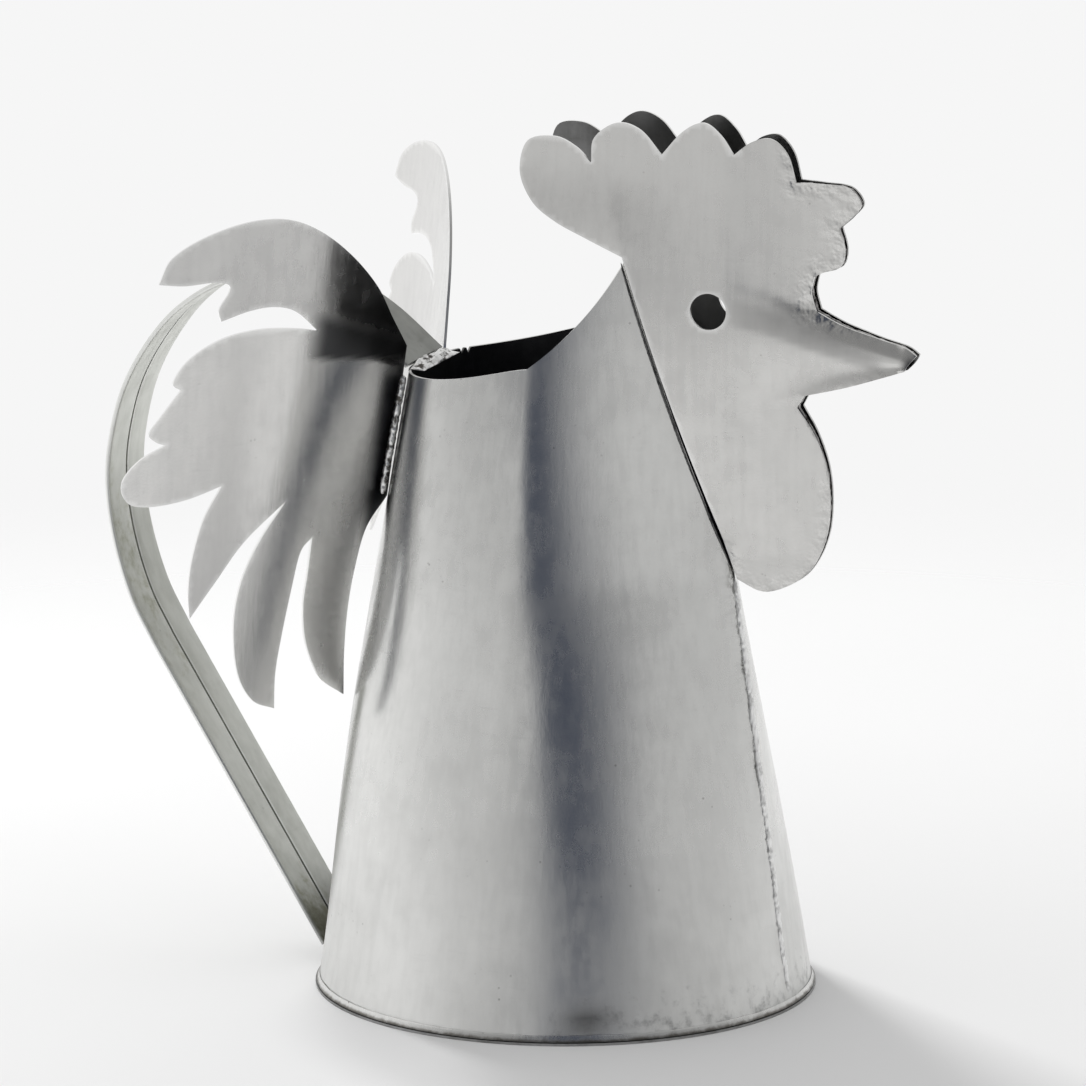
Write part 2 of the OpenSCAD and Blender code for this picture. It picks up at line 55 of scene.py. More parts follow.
# %% Sizes
MM = 0.001
SHEET = 0.8
FIT = 0.25
FOOT_D, FOOT_LIP = 150.0, 0.9
FOOT_R = FOOT_D / 2 - FOOT_LIP
RIM_Z, HORN_Z, THROAT_Z = 187.0, 229.0, 131.6
NECK_BACK, NECK_FRONT, NECK_SIDE = 48.0, 48.0, 30.0
HORN_LAP, RIM_SWEEP = 1.0, 3.4
HEAD_L, HEAD_H, COMB_BACK, WATTLE_Z = 126.0, 143.5, 10.0, 128.0
EYE_D, CHEEK_HALF, EDGE_HALF = 11.0, 7.6, 0.8
TAIL_L, TAIL_H, SEAM_L, SEAM_Y = 96.0, 156.5, 39.0, 14.0
HANDLE_W, FOLD_SLIT, HANDLE_REACH, HANDLE_TOP = 25.0, 1.0, 147.0, RIM_Z + 23.5
SIDES = ((-1, "right"), (1, "left"))
BENDS = {
    "right": dict(start=74.0, radius=155.0, open=1.7, drop=0.0, turn=2.0, flat=27.0, tight=98.0),
    "left": dict(start=62.0, radius=300.0, open=0.6, drop=7.5, turn=0.0, flat=0.0, tight=300.0)}
KNOT_STEPS, GRID_STEP = 8, 1.5


def mix(a, b, t):
    """A straight blend from a to b."""
    return a + (b - a) * t


def ease(t):
    """A smooth step from 0 to 1: three t squared minus two t cubed."""
    c = np.clip(t, 0, 1)
    return c * c * (3 - 2 * c)


def bell(t):
    """A bell that is 1 in the middle: e to the power of minus t squared."""
    return np.exp(-t ** 2)


def dents(u, v, seed):
    """A slow wave over a surface: a sum of sines of u and v with seeded directions, near 1."""
    rng = np.random.default_rng(seed)
    total = 0.0
    for turn, phase, stretch in zip(rng.uniform(0, 6.3, 7), rng.uniform(0, 6.3, 7),
                                    rng.uniform(0.6, 2.2, 7)):
        total = total + np.sin((u * np.cos(turn) + v * np.sin(turn)) * stretch + phase)
    return total / 3.5


# %% [markdown]
# ## From numbers to a mesh
#
# Every piece below ends as an array of points and an array of faces. One helper turns these into
# a Blender mesh in metres. Sheet metal is smooth across its face and sharp at its cut edges, so
# the helper shades all faces smooth and marks the edges that turn by more than a given angle.

# %% Mesh helper
def make_piece(name, points, faces, material, replaces, sharp=40, inner=None):
    """Points in millimetres and arrays of faces by index become an object on the body."""
    mesh = bpy.data.meshes.new(name)
    rows = [row for group in faces for row in np.asarray(group).tolist()]
    mesh.from_pydata((np.asarray(points, float) * MM).tolist(), [], rows)
    mesh.polygons.foreach_set("use_smooth", np.ones(len(mesh.polygons), bool))
    mesh.set_sharp_from_angle(angle=np.radians(sharp))
    mesh.materials.append(material)
    if inner:
        mesh.materials.append(inner[0])
        mesh.polygons.foreach_set("material_index", np.asarray(inner[1], np.int32))
    mesh.update()
    piece = bpy.data.objects.new(name, mesh)
    scene.collection.objects.link(piece)
    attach(piece, "root")
    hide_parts(*replaces)
    print(name, "has", len(points), "points")
    return piece


def grid_faces(rows, columns, closed=False, first=0, flip=False):
    """Quads over a grid of points. A closed grid joins its last column to its first."""
    i, j = np.meshgrid(np.arange(rows - 1), np.arange(columns if closed else columns - 1),
                       indexing="ij")
    k = (j + 1) % columns
    quads = np.stack([i * columns + j, i * columns + k, (i + 1) * columns + k,
                      (i + 1) * columns + j], -1).reshape(-1, 4) + first
    return quads[:, ::-1] if flip else quads


def ring_faces(a, b, flip=False):
    """Quads that join two closed rings of points, both given by index."""
    quads = np.stack([a, b, np.roll(b, -1), np.roll(a, -1)], -1)
    return quads[:, [0, 3, 2, 1]] if flip else quads


# %% [markdown]
# ## Finishes shared by several pieces
#
# Rolled steel sheet has a fine grain along the rolling direction, a faint mottle where the zinc
# has dulled, and small pits and scuffs. Hand-laid solder has lumps with dark flux in the hollows.
# A node group works each of these out from Object coordinates. A third group leans the body's
# normals, because the real sheet was bent by hand a little unlike the solid's even curve.

# %% Node helpers
def new_group(name, inputs, outputs):
    """A shader node group. A socket named Vector or Normal is a vector, any other a value."""
    group = bpy.data.node_groups.new(name, "ShaderNodeTree")
    for way, labels in (("INPUT", inputs), ("OUTPUT", outputs)):
        for label in labels:
            kind = "NodeSocketVector" if label in ("Vector", "Normal") else "NodeSocketFloat"
            group.interface.new_socket(name=label, in_out=way, socket_type=kind)
    return group, group.nodes.new("NodeGroupInput"), group.nodes.new("NodeGroupOutput")


def feed(tree, node, **values):
    """Sets sockets of a node by name, or by number as i0. A socket of another node links."""
    for key, value in values.items():
        number = key[0] == "i" and key[1:].isdigit()
        target = node.inputs[int(key[1:]) if number else key.replace("_", " ")]
        if isinstance(value, bpy.types.NodeSocket):
            tree.links.new(value, target)
        else:
            target.default_value = value


def add(tree, kind, settings=(), **values):
    """A node with its settings and the values of its sockets."""
    node = tree.nodes.new(kind)
    for key, value in dict(settings).items():
        setattr(node, key, value)
    feed(tree, node, **values)
    return node


def math(tree, operation, a, b=0.0, c=0.0, clamp=False):
    """One sum on two or three values."""
    node = add(tree, "ShaderNodeMath", {"operation": operation, "use_clamp": clamp},
               i0=a, i1=b, i2=c)
    return node.outputs[0]


def weighted(tree, *pairs, base=0.0, clamp=False):
    """The base plus each value times its weight."""
    for value, weight in pairs:
        base = math(tree, "MULTIPLY_ADD", value, weight, base, clamp)
    return base


def own_place(tree):
    """Object coordinates: where a point lies on the finished piece."""
    return tree.nodes.new("ShaderNodeTexCoord").outputs["Object"]


def read_mask(tree, name):
    """A value that the mesh carries for each of its points."""
    return add(tree, "ShaderNodeAttribute", {"attribute_name": name}).outputs["Fac"]


def noise(tree, vector, scale, detail=3.0, rough=0.55):
    """Cloudy noise between 0 and 1."""
    return add(tree, "ShaderNodeTexNoise", Vector=vector, Scale=scale, Detail=detail,
               Roughness=rough).outputs["Fac"]


def span(tree, value, low, high, to_low=0.0, to_high=1.0):
    """Brings a value from one range to another and holds it there, with soft ends."""
    node = add(tree, "ShaderNodeMapRange", {"interpolation_type": "SMOOTHSTEP"},
               Value=value, From_Min=low, From_Max=high, To_Min=to_low, To_Max=to_high)
    return node.outputs[0]


def blend(tree, share, a, b):
    """Mixes two colours by a share. A colour is red, green and blue, or a socket."""
    a, b = ((*c, 1) if isinstance(c, tuple) else c for c in (a, b))
    return add(tree, "ShaderNodeMix", {"data_type": "RGBA"}, i0=share, i6=a, i7=b).outputs[2]


# %% Groups for sheet, solder and leaning normals
def rolled_sheet_group():
    """Mottle, grain, scuffs and pits of rolled sheet: a dulling mask is a weighted sum of the
    first three, a pit mask is near cell centres where a cloud is thick."""
    g, i, o = new_group("rolled_sheet", ("Vector", "Pits"), ("Dull", "Pit", "Height"))
    v = i.outputs["Vector"]
    along = add(g, "ShaderNodeMapping", Vector=v, Scale=(1.0, 1.0, 0.06)).outputs[0]
    across = add(g, "ShaderNodeMapping", Vector=v, Scale=(0.12, 0.12, 1.0)).outputs[0]
    cloud = span(g, noise(g, v, 26.0, 4.0, 0.6), 0.35, 0.68)
    fine = span(g, noise(g, v, 160.0, 3.0, 0.6), 0.3, 0.75)
    streak = span(g, noise(g, along, 420.0, 3.0), 0.35, 0.7)
    scuff = span(g, noise(g, across, 700.0, 2.0), 0.64, 0.72)
    dull = weighted(g, (cloud, 0.45), (fine, 0.3), (streak, 0.25), (scuff, 0.12), clamp=True)
    cells = add(g, "ShaderNodeTexVoronoi", {"feature": "F1"}, Vector=v, Scale=300.0)
    near = span(g, cells.outputs["Distance"], 0.05, 0.16, 1.0, 0.0)
    few = span(g, noise(g, v, 55.0, 2.0), 0.56, 0.7)
    pit = math(g, "MULTIPLY", math(g, "MULTIPLY", near, few), i.outputs["Pits"], clamp=True)
    grain = noise(g, v, 1500.0, 2.0, 0.7)
    height = weighted(g, (grain, 0.5), (streak, 0.5), (pit, -2.0))
    feed(g, o, Dull=dull, Pit=pit, Height=height)
    return g


SHEET_GROUP = rolled_sheet_group()


def solder_group():
    """Lumps of two sizes as a height, and a flux mask where the large lumps are low."""
    g, i, o = new_group("hand_solder", ("Vector",), ("Flux", "Height"))
    lumps = noise(g, i.outputs["Vector"], 330.0, 4.0, 0.62)
    small = noise(g, i.outputs["Vector"], 1100.0, 3.0, 0.6)
    flux = span(g, lumps, 0.52, 0.36)
    height = math(g, "ADD", lumps, math(g, "MULTIPLY", small, 0.35))
    feed(g, o, Flux=flux, Height=height)
    return g


SOLDER_GROUP = solder_group()


def front_turn_group():
    """The normal plus a push forwards that grows with height, and in front of the axis also
    towards the middle plane: near the rim the sheet was bent in to meet the head."""
    g, _, o = new_group("front_turn", (), ("Normal",))
    x, y, z = add(g, "ShaderNodeSeparateXYZ", Vector=own_place(g)).outputs
    share = math(g, "ADD", span(g, z, 0.1, 0.205, 0.0, 0.27), span(g, z, 0.0, 0.085, -0.025, 0.0))
    inwards = math(g, "MULTIPLY", span(g, y, -0.01, 0.01, 0.4, -0.4), span(g, x, -0.02, 0.01))
    aside = math(g, "MULTIPLY", share, inwards)
    push = add(g, "ShaderNodeCombineXYZ", X=share, Y=aside).outputs[0]
    normal = g.nodes.new("ShaderNodeNewGeometry").outputs["Normal"]
    total = add(g, "ShaderNodeVectorMath", {"operation": "ADD"}, i0=normal, i1=push).outputs[0]
    unit = add(g, "ShaderNodeVectorMath", {"operation": "NORMALIZE"}, i0=total).outputs[0]
    feed(g, o, Normal=unit)
    return g


TURN_GROUP = front_turn_group()
print("node groups:", len(bpy.data.node_groups))

# %% [markdown]
# ## The materials
#
# Metal shows what stands round it, so its base colour stays near neutral and its roughness does
# most of the work. Body, head, tail and the tinned foot are the same sheet at different degrees
# of wear, and the head and tail are painted a little darker than the body as shade. The handle is
# greener with patina. The inside of the jug and the inner faces of the head sheets are painted
# dark grey as shade. The tin is bright on the tail seams and pale and smooth down the front; at
# the neck it is painted near black as the shade in the gap where the head sheets lap over the
# body.

# %% Materials
# The near white is a painted highlight for cut edges, and the near black paints shade and dark
# reflections.
PIT_DARK, EDGE_HIGHLIGHT, PAINTED_SHADE = (0.16, 0.15, 0.14), (0.97, 0.97, 0.96), (0.035, 0.036, 0.04)
RUMPLE_DEPTH, SCRATCH_DEPTH, LUMP_DEPTH = 0.0012, 0.0004, 0.0008


def new_material(name):
    """An empty material and its node tree."""
    m = bpy.data.materials.new(name)
    m.use_nodes = True
    m.node_tree.nodes.clear()
    return m, m.node_tree


def finish_material(tree, color, roughness, metallic=1.0, **more):
    """The Principled BSDF and the output, in the material itself."""
    shader = add(tree, "ShaderNodeBsdfPrincipled", Base_Color=color, Roughness=roughness,
                 Metallic=metallic, **more)
    add(tree, "ShaderNodeOutputMaterial", Surface=shader.outputs[0])


def sheet_material(name, bright, dulled, stain, rough, pits=0.5, bump=0.05, stains=True,
                   turn=False, swing=False):
    """Bare sheet. The dulling mask moves both the colour and the roughness. Where the mesh
    carries masks, stain darkens it, shade lays painted shade or a painted dark reflection on it,
    rim paints a highlight on a cut edge and rumple crumples it.
    The normals are leaned by the group (turn) or turned by the mesh's own angle (swing)."""
    m, t = new_material(name)
    place = own_place(t)
    surface = add(t, "ShaderNodeGroup", {"node_tree": SHEET_GROUP}, Vector=place, Pits=pits)
    color = blend(t, surface.outputs["Dull"], bright, dulled)
    color = blend(t, surface.outputs["Pit"], color, PIT_DARK)
    roughness = span(t, surface.outputs["Dull"], 0.0, 1.0, *rough)
    height = add(t, "ShaderNodeBump", Strength=bump, Distance=SCRATCH_DEPTH,
                 Height=surface.outputs["Height"])
    if stains:
        rag = math(t, "MULTIPLY_ADD", noise(t, place, 240.0, 4.0, 0.65), 0.9,
                   math(t, "SUBTRACT", read_mask(t, "stain"), 0.95))
        mark = span(t, rag, 0.0, 0.5)
        color = blend(t, mark, color, stain)
        roughness = math(t, "MULTIPLY_ADD", mark, 0.14, roughness)
        # The rim mask paints a highlight on cut edges, and the shade mask paints shade and dark
        # reflections.
        color = blend(t, math(t, "MULTIPLY", read_mask(t, "rim"), 0.6), color, EDGE_HIGHLIGHT)
        shade = read_mask(t, "shade")
        color = blend(t, shade, color, PAINTED_SHADE)
        roughness = math(t, "MULTIPLY_ADD", shade, 0.2, roughness)
    if turn:
        up = add(t, "ShaderNodeSeparateXYZ", Vector=place).outputs[2]
        roughness = math(t, "ADD", roughness, span(t, up, 0.0, 0.1, 0.12, 0.0))
        turned = add(t, "ShaderNodeGroup", {"node_tree": TURN_GROUP})
        feed(t, height, Normal=turned.outputs[0])
    if swing:
        swung = add(t, "ShaderNodeVectorRotate", {"rotation_type": "Z_AXIS"},
                    Angle=read_mask(t, "swing"),
                    Vector=t.nodes.new("ShaderNodeNewGeometry").outputs["Normal"]).outputs[0]
        feed(t, height, Normal=swung)
    if stains:
        height = add(t, "ShaderNodeBump", Strength=read_mask(t, "rumple"), Distance=RUMPLE_DEPTH,
                     Height=noise(t, place, 260.0, 2.0, 0.5), Normal=height.outputs[0])
    finish_material(t, color, roughness, Normal=height.outputs[0])
    return m


def solder_material(name, bright, flux, rough=0.32, bump=0.6):
    """Hand-laid tin: the flux in its hollows is darker and rougher."""
    m, t = new_material(name)
    surface = add(t, "ShaderNodeGroup", {"node_tree": SOLDER_GROUP}, Vector=own_place(t))
    color = blend(t, surface.outputs["Flux"], bright, flux)
    roughness = span(t, surface.outputs["Flux"], 0.0, 1.0, rough, rough + 0.3)
    height = add(t, "ShaderNodeBump", Strength=bump, Distance=LUMP_DEPTH,
                 Height=surface.outputs["Height"])
    finish_material(t, color, roughness, Normal=height.outputs[0])
    return m


# %% The metals
body_sheet = sheet_material("galvanised_body", (0.76, 0.76, 0.745), (0.68, 0.68, 0.665),
                            (0.2, 0.2, 0.2), rough=(0.2, 0.32), turn=True)
# The head and tail are copies of the body's sheet, painted a little darker as shade.
head_metal = sheet_material("galvanised_head", (0.69, 0.685, 0.67), (0.62, 0.615, 0.6),
                            (0.16, 0.16, 0.16), rough=(0.2, 0.33))
tail_metal = sheet_material("galvanised_tail", (0.72, 0.715, 0.7), (0.66, 0.655, 0.645),
                            (0.14, 0.14, 0.15), rough=(0.17, 0.28), pits=0.25, swing=True)
tinned_foot = sheet_material("tinned_foot", (0.76, 0.76, 0.745), (0.66, 0.66, 0.64),
                             (0.2, 0.19, 0.17), rough=(0.24, 0.36), pits=1.0, bump=0.1)
handle_metal = sheet_material("galvanised_handle", (0.62, 0.63, 0.59), (0.5, 0.51, 0.47),
                              (0.3, 0.3, 0.2), rough=(0.3, 0.42))
# The inner faces of the head sheets and the inside of the jug are painted dark grey as shade.
shaded_between_metal = sheet_material("between_sheets", (0.2, 0.2, 0.2), (0.14, 0.14, 0.135),
                               (0.06, 0.06, 0.06), rough=(0.3, 0.45), stains=False)
shaded_inside_metal = sheet_material("jug_inside", (0.24, 0.24, 0.26), (0.16, 0.16, 0.17),
                              (0.05, 0.05, 0.05), rough=(0.4, 0.6), stains=False)
bright_solder = solder_material("bright_solder", (0.85, 0.85, 0.84), (0.13, 0.12, 0.11))
seam_solder = solder_material("seam_solder", (0.92, 0.92, 0.91), (0.78, 0.78, 0.77),
                              rough=0.5, bump=0.25)
# The neck solder is painted near black: the shade in the gap where the head sheets lap over the
# body.
neck_solder = solder_material("neck_solder", (0.12, 0.12, 0.12), (0.07, 0.07, 0.07),
                              rough=0.4, bump=0.12)
dark_solder = solder_material("dark_solder", (0.42, 0.41, 0.4), (0.07, 0.065, 0.06))
base_metal = sheet_material("base_edge", (0.4, 0.4, 0.4), (0.22, 0.22, 0.21),
                            (0.1, 0.1, 0.1), rough=(0.35, 0.6), pits=1.0, stains=False)
print("materials:", len(bpy.data.materials))

# %% [markdown]
# ## The body
#
# The body is one sheet rolled to a cone, then flattened and pinched to a wedge at the front,
# tighter on the right side than on the left. Its section at each height has half-axes that
# shrink evenly upwards. The back half grows a little boxy, and the front half changes from an
# ellipse to a wedge. A grid over the angle and the height gives the outside, and the same grid
# moved in by the sheet gives the inside.

# %% Body section
ROUND_POWER, BACK_POWER_TOP, BOXY_SHARE = 2.0, 2.6, 0.53
RIGHT_WEDGE, LEFT_WEDGE = 0.5, 0.25


def half_axis(neck):
    """A half-axis of the section that runs evenly from the foot's radius to its neck value."""
    return lambda z: mix(FOOT_R, neck, z / RIM_Z)


back_r, front_r, side_r = (half_axis(neck) for neck in (NECK_BACK, NECK_FRONT, NECK_SIDE))


def back_power(z):
    """Power of the back's superellipse: 2 is an ellipse, and more is boxy."""
    return mix(ROUND_POWER, BACK_POWER_TOP, ease(z / (BOXY_SHARE * RIM_Z)))


def wedge_share(z, left):
    """How far the ellipse is drawn out to a wedge: grows with the square of the height."""
    return np.where(left, LEFT_WEDGE, RIGHT_WEDGE) * np.clip(z / THROAT_Z, 0, 1) ** 2


def body_point(a, z, inset=0.0):
    """Section angle a in degrees from the front, height z: the back half is a superellipse,
    the front half an ellipse mixed with a wedge."""
    c, s = np.cos(np.radians(a)), np.sin(np.radians(a))
    p = 2 / back_power(z)
    ry = side_r(z) - inset
    front = (front_r(z) - inset) * mix(c, 1 - np.abs(s), wedge_share(z, s > 0))
    back = (inset - back_r(z)) * np.abs(c) ** p
    x = np.where(c >= 0, front, back)
    y = np.where(c >= 0, ry * s, ry * np.sign(s) * np.abs(s) ** p)
    return np.stack([x, y, z + 0 * x], -1)


def front_angle(x, z, left):
    """Section angle, in degrees, at which a front quarter reaches x ahead of the axis."""
    w = wedge_share(z, left)
    reach, turn = np.hypot(1 - w, w), np.arctan2(w, 1 - w)
    q = (x / front_r(z) - w) / reach
    return np.degrees(np.where(q >= np.cos(turn), 0.0, np.arccos(np.clip(q, -1, 1)) - turn))


def front_y(x, z, left):
    """Half the width of the front of the body on one side, x ahead of the axis."""
    return side_r(z) * np.sin(np.radians(front_angle(x, z, left)))


def back_x(y, z):
    """How far the back wall lies behind the axis, y from the middle plane."""
    n = back_power(z)
    return back_r(z) * (1 - np.minimum(np.abs(y) / side_r(z), 1) ** n) ** (1 / n)


HORN_X = 0.275 * HEAD_L - COMB_BACK
HORN_ANGLES = [float(front_angle(HORN_X + HORN_LAP, HORN_Z, left)) for left in (False, True)]


def rim_at(a):
    """Height of the rim: low at the back, swept up to a horn on each side, falling under the
    head sheets in front. Two small nicks were cut in the left side."""
    b = np.abs(np.where(a > 180, a - 360, a))
    h = np.where(a < 180, *HORN_ANGLES[::-1])
    sweep = RIM_Z + (HORN_Z - RIM_Z) * (np.minimum(180 - b, 180 - h) / (180 - h)) ** RIM_SWEEP
    rim = np.where(b < h, mix(THROAT_Z, HORN_Z, b / h), sweep)
    for place in (146.0, 150.0):
        rim = rim - 1.7 * np.clip(1 - np.abs(a - place) / 1.3, 0, 1)
    return rim


# %% Body mesh
columns = np.unique(np.concatenate([np.linspace(0, 359.25, 480), np.linspace(142, 154, 49),
                                    [HORN_ANGLES[1], 360 - HORN_ANGLES[0]]]))
levels = np.linspace(0, 1, 61)
angle, level = np.meshgrid(columns, levels)
height = mix(SHEET + FIT, rim_at(angle), level)


def body_skin(inset):
    """The skin, with a slow hand-bent wave that fades out at the foot."""
    p = body_point(angle, height, inset)
    wave = 0.05 * dents(np.cos(np.radians(angle)) * 2.6 + 1.7 * np.sin(np.radians(angle)),
                        height / 42, 5) * ease(height / 25)
    hammered = bell(p[..., 1] / 6.5) * (p[..., 0] > 0) * ease((height - 30) / 40)
    wave = wave + 0.22 * hammered * dents(height / 5, p[..., 1] / 3.5, 7)
    out = p * (1, 1, 0) / np.linalg.norm(p[..., :2], axis=-1)[..., None]
    return p + out * wave[..., None]


outside, inside = body_skin(0.0), body_skin(SHEET)
rows, ring = angle.shape
count = rows * ring
first_row, last_row = np.arange(ring), np.arange(ring) + (rows - 1) * ring
body_faces = [grid_faces(rows, ring, True), grid_faces(rows, ring, True, count, True),
              ring_faces(first_row, first_row + count),
              ring_faces(last_row, last_row + count, flip=True)]
is_inside = np.repeat([0, 1, 1, 0], [len(f) for f in body_faces])
body_points = np.concatenate([outside.reshape(-1, 3), inside.reshape(-1, 3)])
body = make_piece("body_sheet", body_points, body_faces, body_sheet,
                  ["body_shell"], inner=(shaded_inside_metal, is_inside))

# %% [markdown]
# Solder and flux leave the metal beside a seam stained, and it crumpled in front where it was
# drawn together. Beside the tail seams the body carries painted shade from the tail halves, and a
# dark patch is painted low on the front right. The masks are worked out from how far each point
# of the body lies from the front seam, the tail seams and the foot, as bells that fall with the
# square of the distance.

# %% Body stains
def set_masks(piece, **amounts):
    """Puts values for each point on the mesh, for the material to read. A mask is held between
    0 and 1, and the swing is an angle in radians."""
    for name, amount in amounts.items():
        held = amount if name == "swing" else np.clip(amount, 0, 1)
        layer = piece.data.attributes.new(name, "FLOAT", "POINT")
        layer.data.foreach_set("value", np.asarray(held, np.float32))


x, y, z = body_points.T
foot_specks = bell(z / 26) * ease((x + 5) / 40) * 0.6
# A dark patch low on the front right, in the shade colour.
low_dark_patch = bell((z - 7) / 4) * bell((x - 36) / 6.5) * (y < 0)
# Painted shade on the body beside the tail seams, where the tail halves stand close.
corner = bell((np.abs(y) - SEAM_Y - 3) / 2.8) * (x < 0) * ease((z - 142) / 8) * 0.6
drawn = bell(y / 4) * (x > 0) * ease((z - 45) / 30) * 0.45
set_masks(body, stain=foot_specks, shade=np.maximum(corner, 0.75 * low_dark_patch), rumple=drawn)
print("body spans", body_points.min(0).round(1), "to", body_points.max(0).round(1))

# %% [markdown]
# ## Outlines cut with snips
#
# The comb, beak, wattle and feathers are curves between a few knots, some of them sharp corners.
# A cubic between knots, with slopes taken from the neighbours, gives the same curve as the solid.
# The inside of an outline is filled with an even grid of points, and a triangulation that keeps
# the outline's edges joins them, because a bent sheet needs points across its face.

# %% Curves through knots
def cubic(a, b, leave, arrive, steps):
    """Cubics from each a to each b with the slopes given at both ends."""
    t = (np.arange(steps) / steps)[None, :, None]
    t2, t3 = t * t, t * t * t
    run = (a[:, None] * (2 * t3 - 3 * t2 + 1) + leave[:, None] * (t3 - 2 * t2 + t)
           + b[:, None] * (3 * t2 - 2 * t3) + arrive[:, None] * (t3 - t2))
    return run.reshape(-1, 2)


def smooth_loop(knots, steps):
    """Closed cubic curve. A knot is (x, y) or (x, y, 1) for a corner."""
    p = np.array([k[:2] for k in knots], float)
    corner = np.array([len(k) > 2 for k in knots])[:, None]
    nxt, prv = np.roll(p, -1, 0), np.roll(p, 1, 0)
    leave = np.where(corner, nxt - p, (nxt - prv) / 2)
    arrive = np.roll(np.where(corner, p - prv, (nxt - prv) / 2), -1, 0)
    return cubic(p, nxt, leave, arrive, steps)


def smooth_run(knots, steps):
    """The same through an open run of knots."""
    p = np.array(knots, float)
    slope = np.empty_like(p)
    slope[1:-1] = (p[2:] - p[:-2]) / 2
    slope[0], slope[-1] = p[1] - p[0], p[-1] - p[-2]
    return np.concatenate([cubic(p[:-1], p[1:], slope[:-1], slope[1:], steps), p[-1:]])


# %% Filled outlines
def winding_inside(points, loops):
    """Even-odd test of many points against closed loops at once."""
    hit = np.zeros(len(points), int)
    for loop in loops:
        a, b = loop, np.roll(loop, -1, 0)
        px, py = points[:, :1], points[:, 1:]
        crosses = (a[:, 1] > py) != (b[:, 1] > py)
        at = a[:, 0] + (py - a[:, 1]) * (b[:, 0] - a[:, 0]) / (b[:, 1] - a[:, 1] + 1e-12)
        hit += (crosses & (px < at)).sum(1)
    return hit % 2 == 1


def edge_distance(points, loops):
    """Least distance of many points from the edges of closed loops."""
    best = np.full(len(points), 1e9)
    for loop in loops:
        a, b = loop, np.roll(loop, -1, 0)
        run = b - a
        t = ((points[:, None] - a) * run).sum(-1) / ((run ** 2).sum(-1) + 1e-12)
        foot = a + np.clip(t, 0, 1)[..., None] * run
        best = np.minimum(best, np.linalg.norm(points[:, None] - foot, axis=-1).min(1))
    return best


def fill_outline(loops, spacing):
    """Triangles inside the first loop and outside the others, on an even grid of points."""
    low, high = loops[0].min(0), loops[0].max(0)
    gx, gy = np.meshgrid(np.arange(low[0], high[0], spacing), np.arange(low[1], high[1], spacing))
    gx[1::2] += spacing / 2
    grid = np.stack([gx.ravel(), gy.ravel()], -1)
    grid = grid[winding_inside(grid, loops)]
    grid = grid[edge_distance(grid, loops) > spacing * 0.45]
    starts = np.cumsum([0] + [len(loop) for loop in loops])
    edges = [(int(s + i), int(s + (i + 1) % len(loop)))
             for s, loop in zip(starts, loops) for i in range(len(loop))]
    flat = np.concatenate([*loops, grid])
    got = geometry.delaunay_2d_cdt([Vector(p) for p in flat], edges, [], 0, 1e-6)
    points = np.array([tuple(v) for v in got[0]])
    tris = np.array([tuple(f) for f in got[2]])
    keep = winding_inside(points[tris].mean(1), loops)
    return points, tris[keep]


def rim_edges(tris):
    """Edges that only one triangle uses, in the direction in which that triangle runs."""
    e = np.concatenate([tris[:, [0, 1]], tris[:, [1, 2]], tris[:, [2, 0]]])
    key = np.sort(e, 1)
    _, first, times = np.unique(key, axis=0, return_index=True, return_counts=True)
    return e[first[times == 1]]


def two_skins(near, far, tris, side):
    """A sheet from two skins over the same triangles. They are turned round on the left side,
    so that the near skin always faces outwards."""
    tris, n = tris[:, ::-side], len(near)
    edge = rim_edges(tris)
    walls = np.stack([edge[:, 1], edge[:, 0], edge[:, 0] + n, edge[:, 1] + n], -1)
    return np.concatenate([near, far]), [tris, tris[:, ::-1] + n, walls]


# %% [markdown]
# ## The head sheets
#
# Comb, eye, beak and wattle are cut in one piece, twice. Each sheet flares out over the body's
# wedge at its seam, is creased outwards from the cheek to the beak, and closes on its twin at
# the soldered edges. So a sheet is its outline in the middle plane, pushed sideways by half the
# gap between the two. The crease is soft at the cheek and gets sharp at the beak.

# %% Head outline
def share_place(p):
    """Thousandths of the head's length and height to millimetres."""
    return (p[0] / 1000 * HEAD_L - COMB_BACK, p[1] / 1000 * HEAD_H + WATTLE_Z, *p[2:])


HEAD_SHARES = [
    (275, 707, 1), (183, 739), (103, 768), (40, 805), (3, 865), (20, 930), (87, 944), (141, 926),
    (181, 895, 1), (187, 948), (242, 984), (302, 973), (356, 924, 1), (409, 978), (460, 1000),
    (504, 976), (536, 937, 1), (579, 967), (627, 976), (667, 944), (687, 888, 1), (754, 889),
    (821, 886), (853, 854), (829, 824), (797, 798, 1), (811, 753), (800, 716), (758, 701),
    (735, 690, 1), (728, 655), (740, 617, 1), (810, 592), (905, 571), (968, 559), (998, 544, 1),
    (967, 508, 1), (897, 485), (810, 458), (709, 433, 1), (692, 405, 1), (734, 350), (765, 279),
    (773, 195), (760, 122), (722, 58), (667, 20), (599, 1), (532, 21, 1)]
head_knots = [share_place(p) for p in HEAD_SHARES]
head_loop = smooth_loop(head_knots, KNOT_STEPS)
horn, throat, root_top, tip_top, tip_low, root_low = (
    np.array(head_knots[k][:2]) for k in (0, -1, 31, 35, 36, 39))
eye = np.array(share_place((484, 603)))
turn = np.linspace(0, 2 * np.pi, 56, endpoint=False)
eye_loop = eye + EYE_D / 2 * np.stack([np.cos(turn), np.sin(turn)], -1)
print("head outline:", len(head_loop), "points, eye:", len(eye_loop))
crease_x, crease_z = share_place((635, 550))
CREASE_DROP, TOE_IN, LOW_IN, UP_IN = 0.09, 0.08, 0.09, 0.045
FLARE_L, FLARE_FADE, FACE_X, FACE_L = 36.0, 28.0, 55.0, 37.0


# %% Head surface
def crease_at(x):
    """Height of the crease, which falls a little towards the beak."""
    return crease_z - CREASE_DROP * np.maximum(x - crease_x, 0)


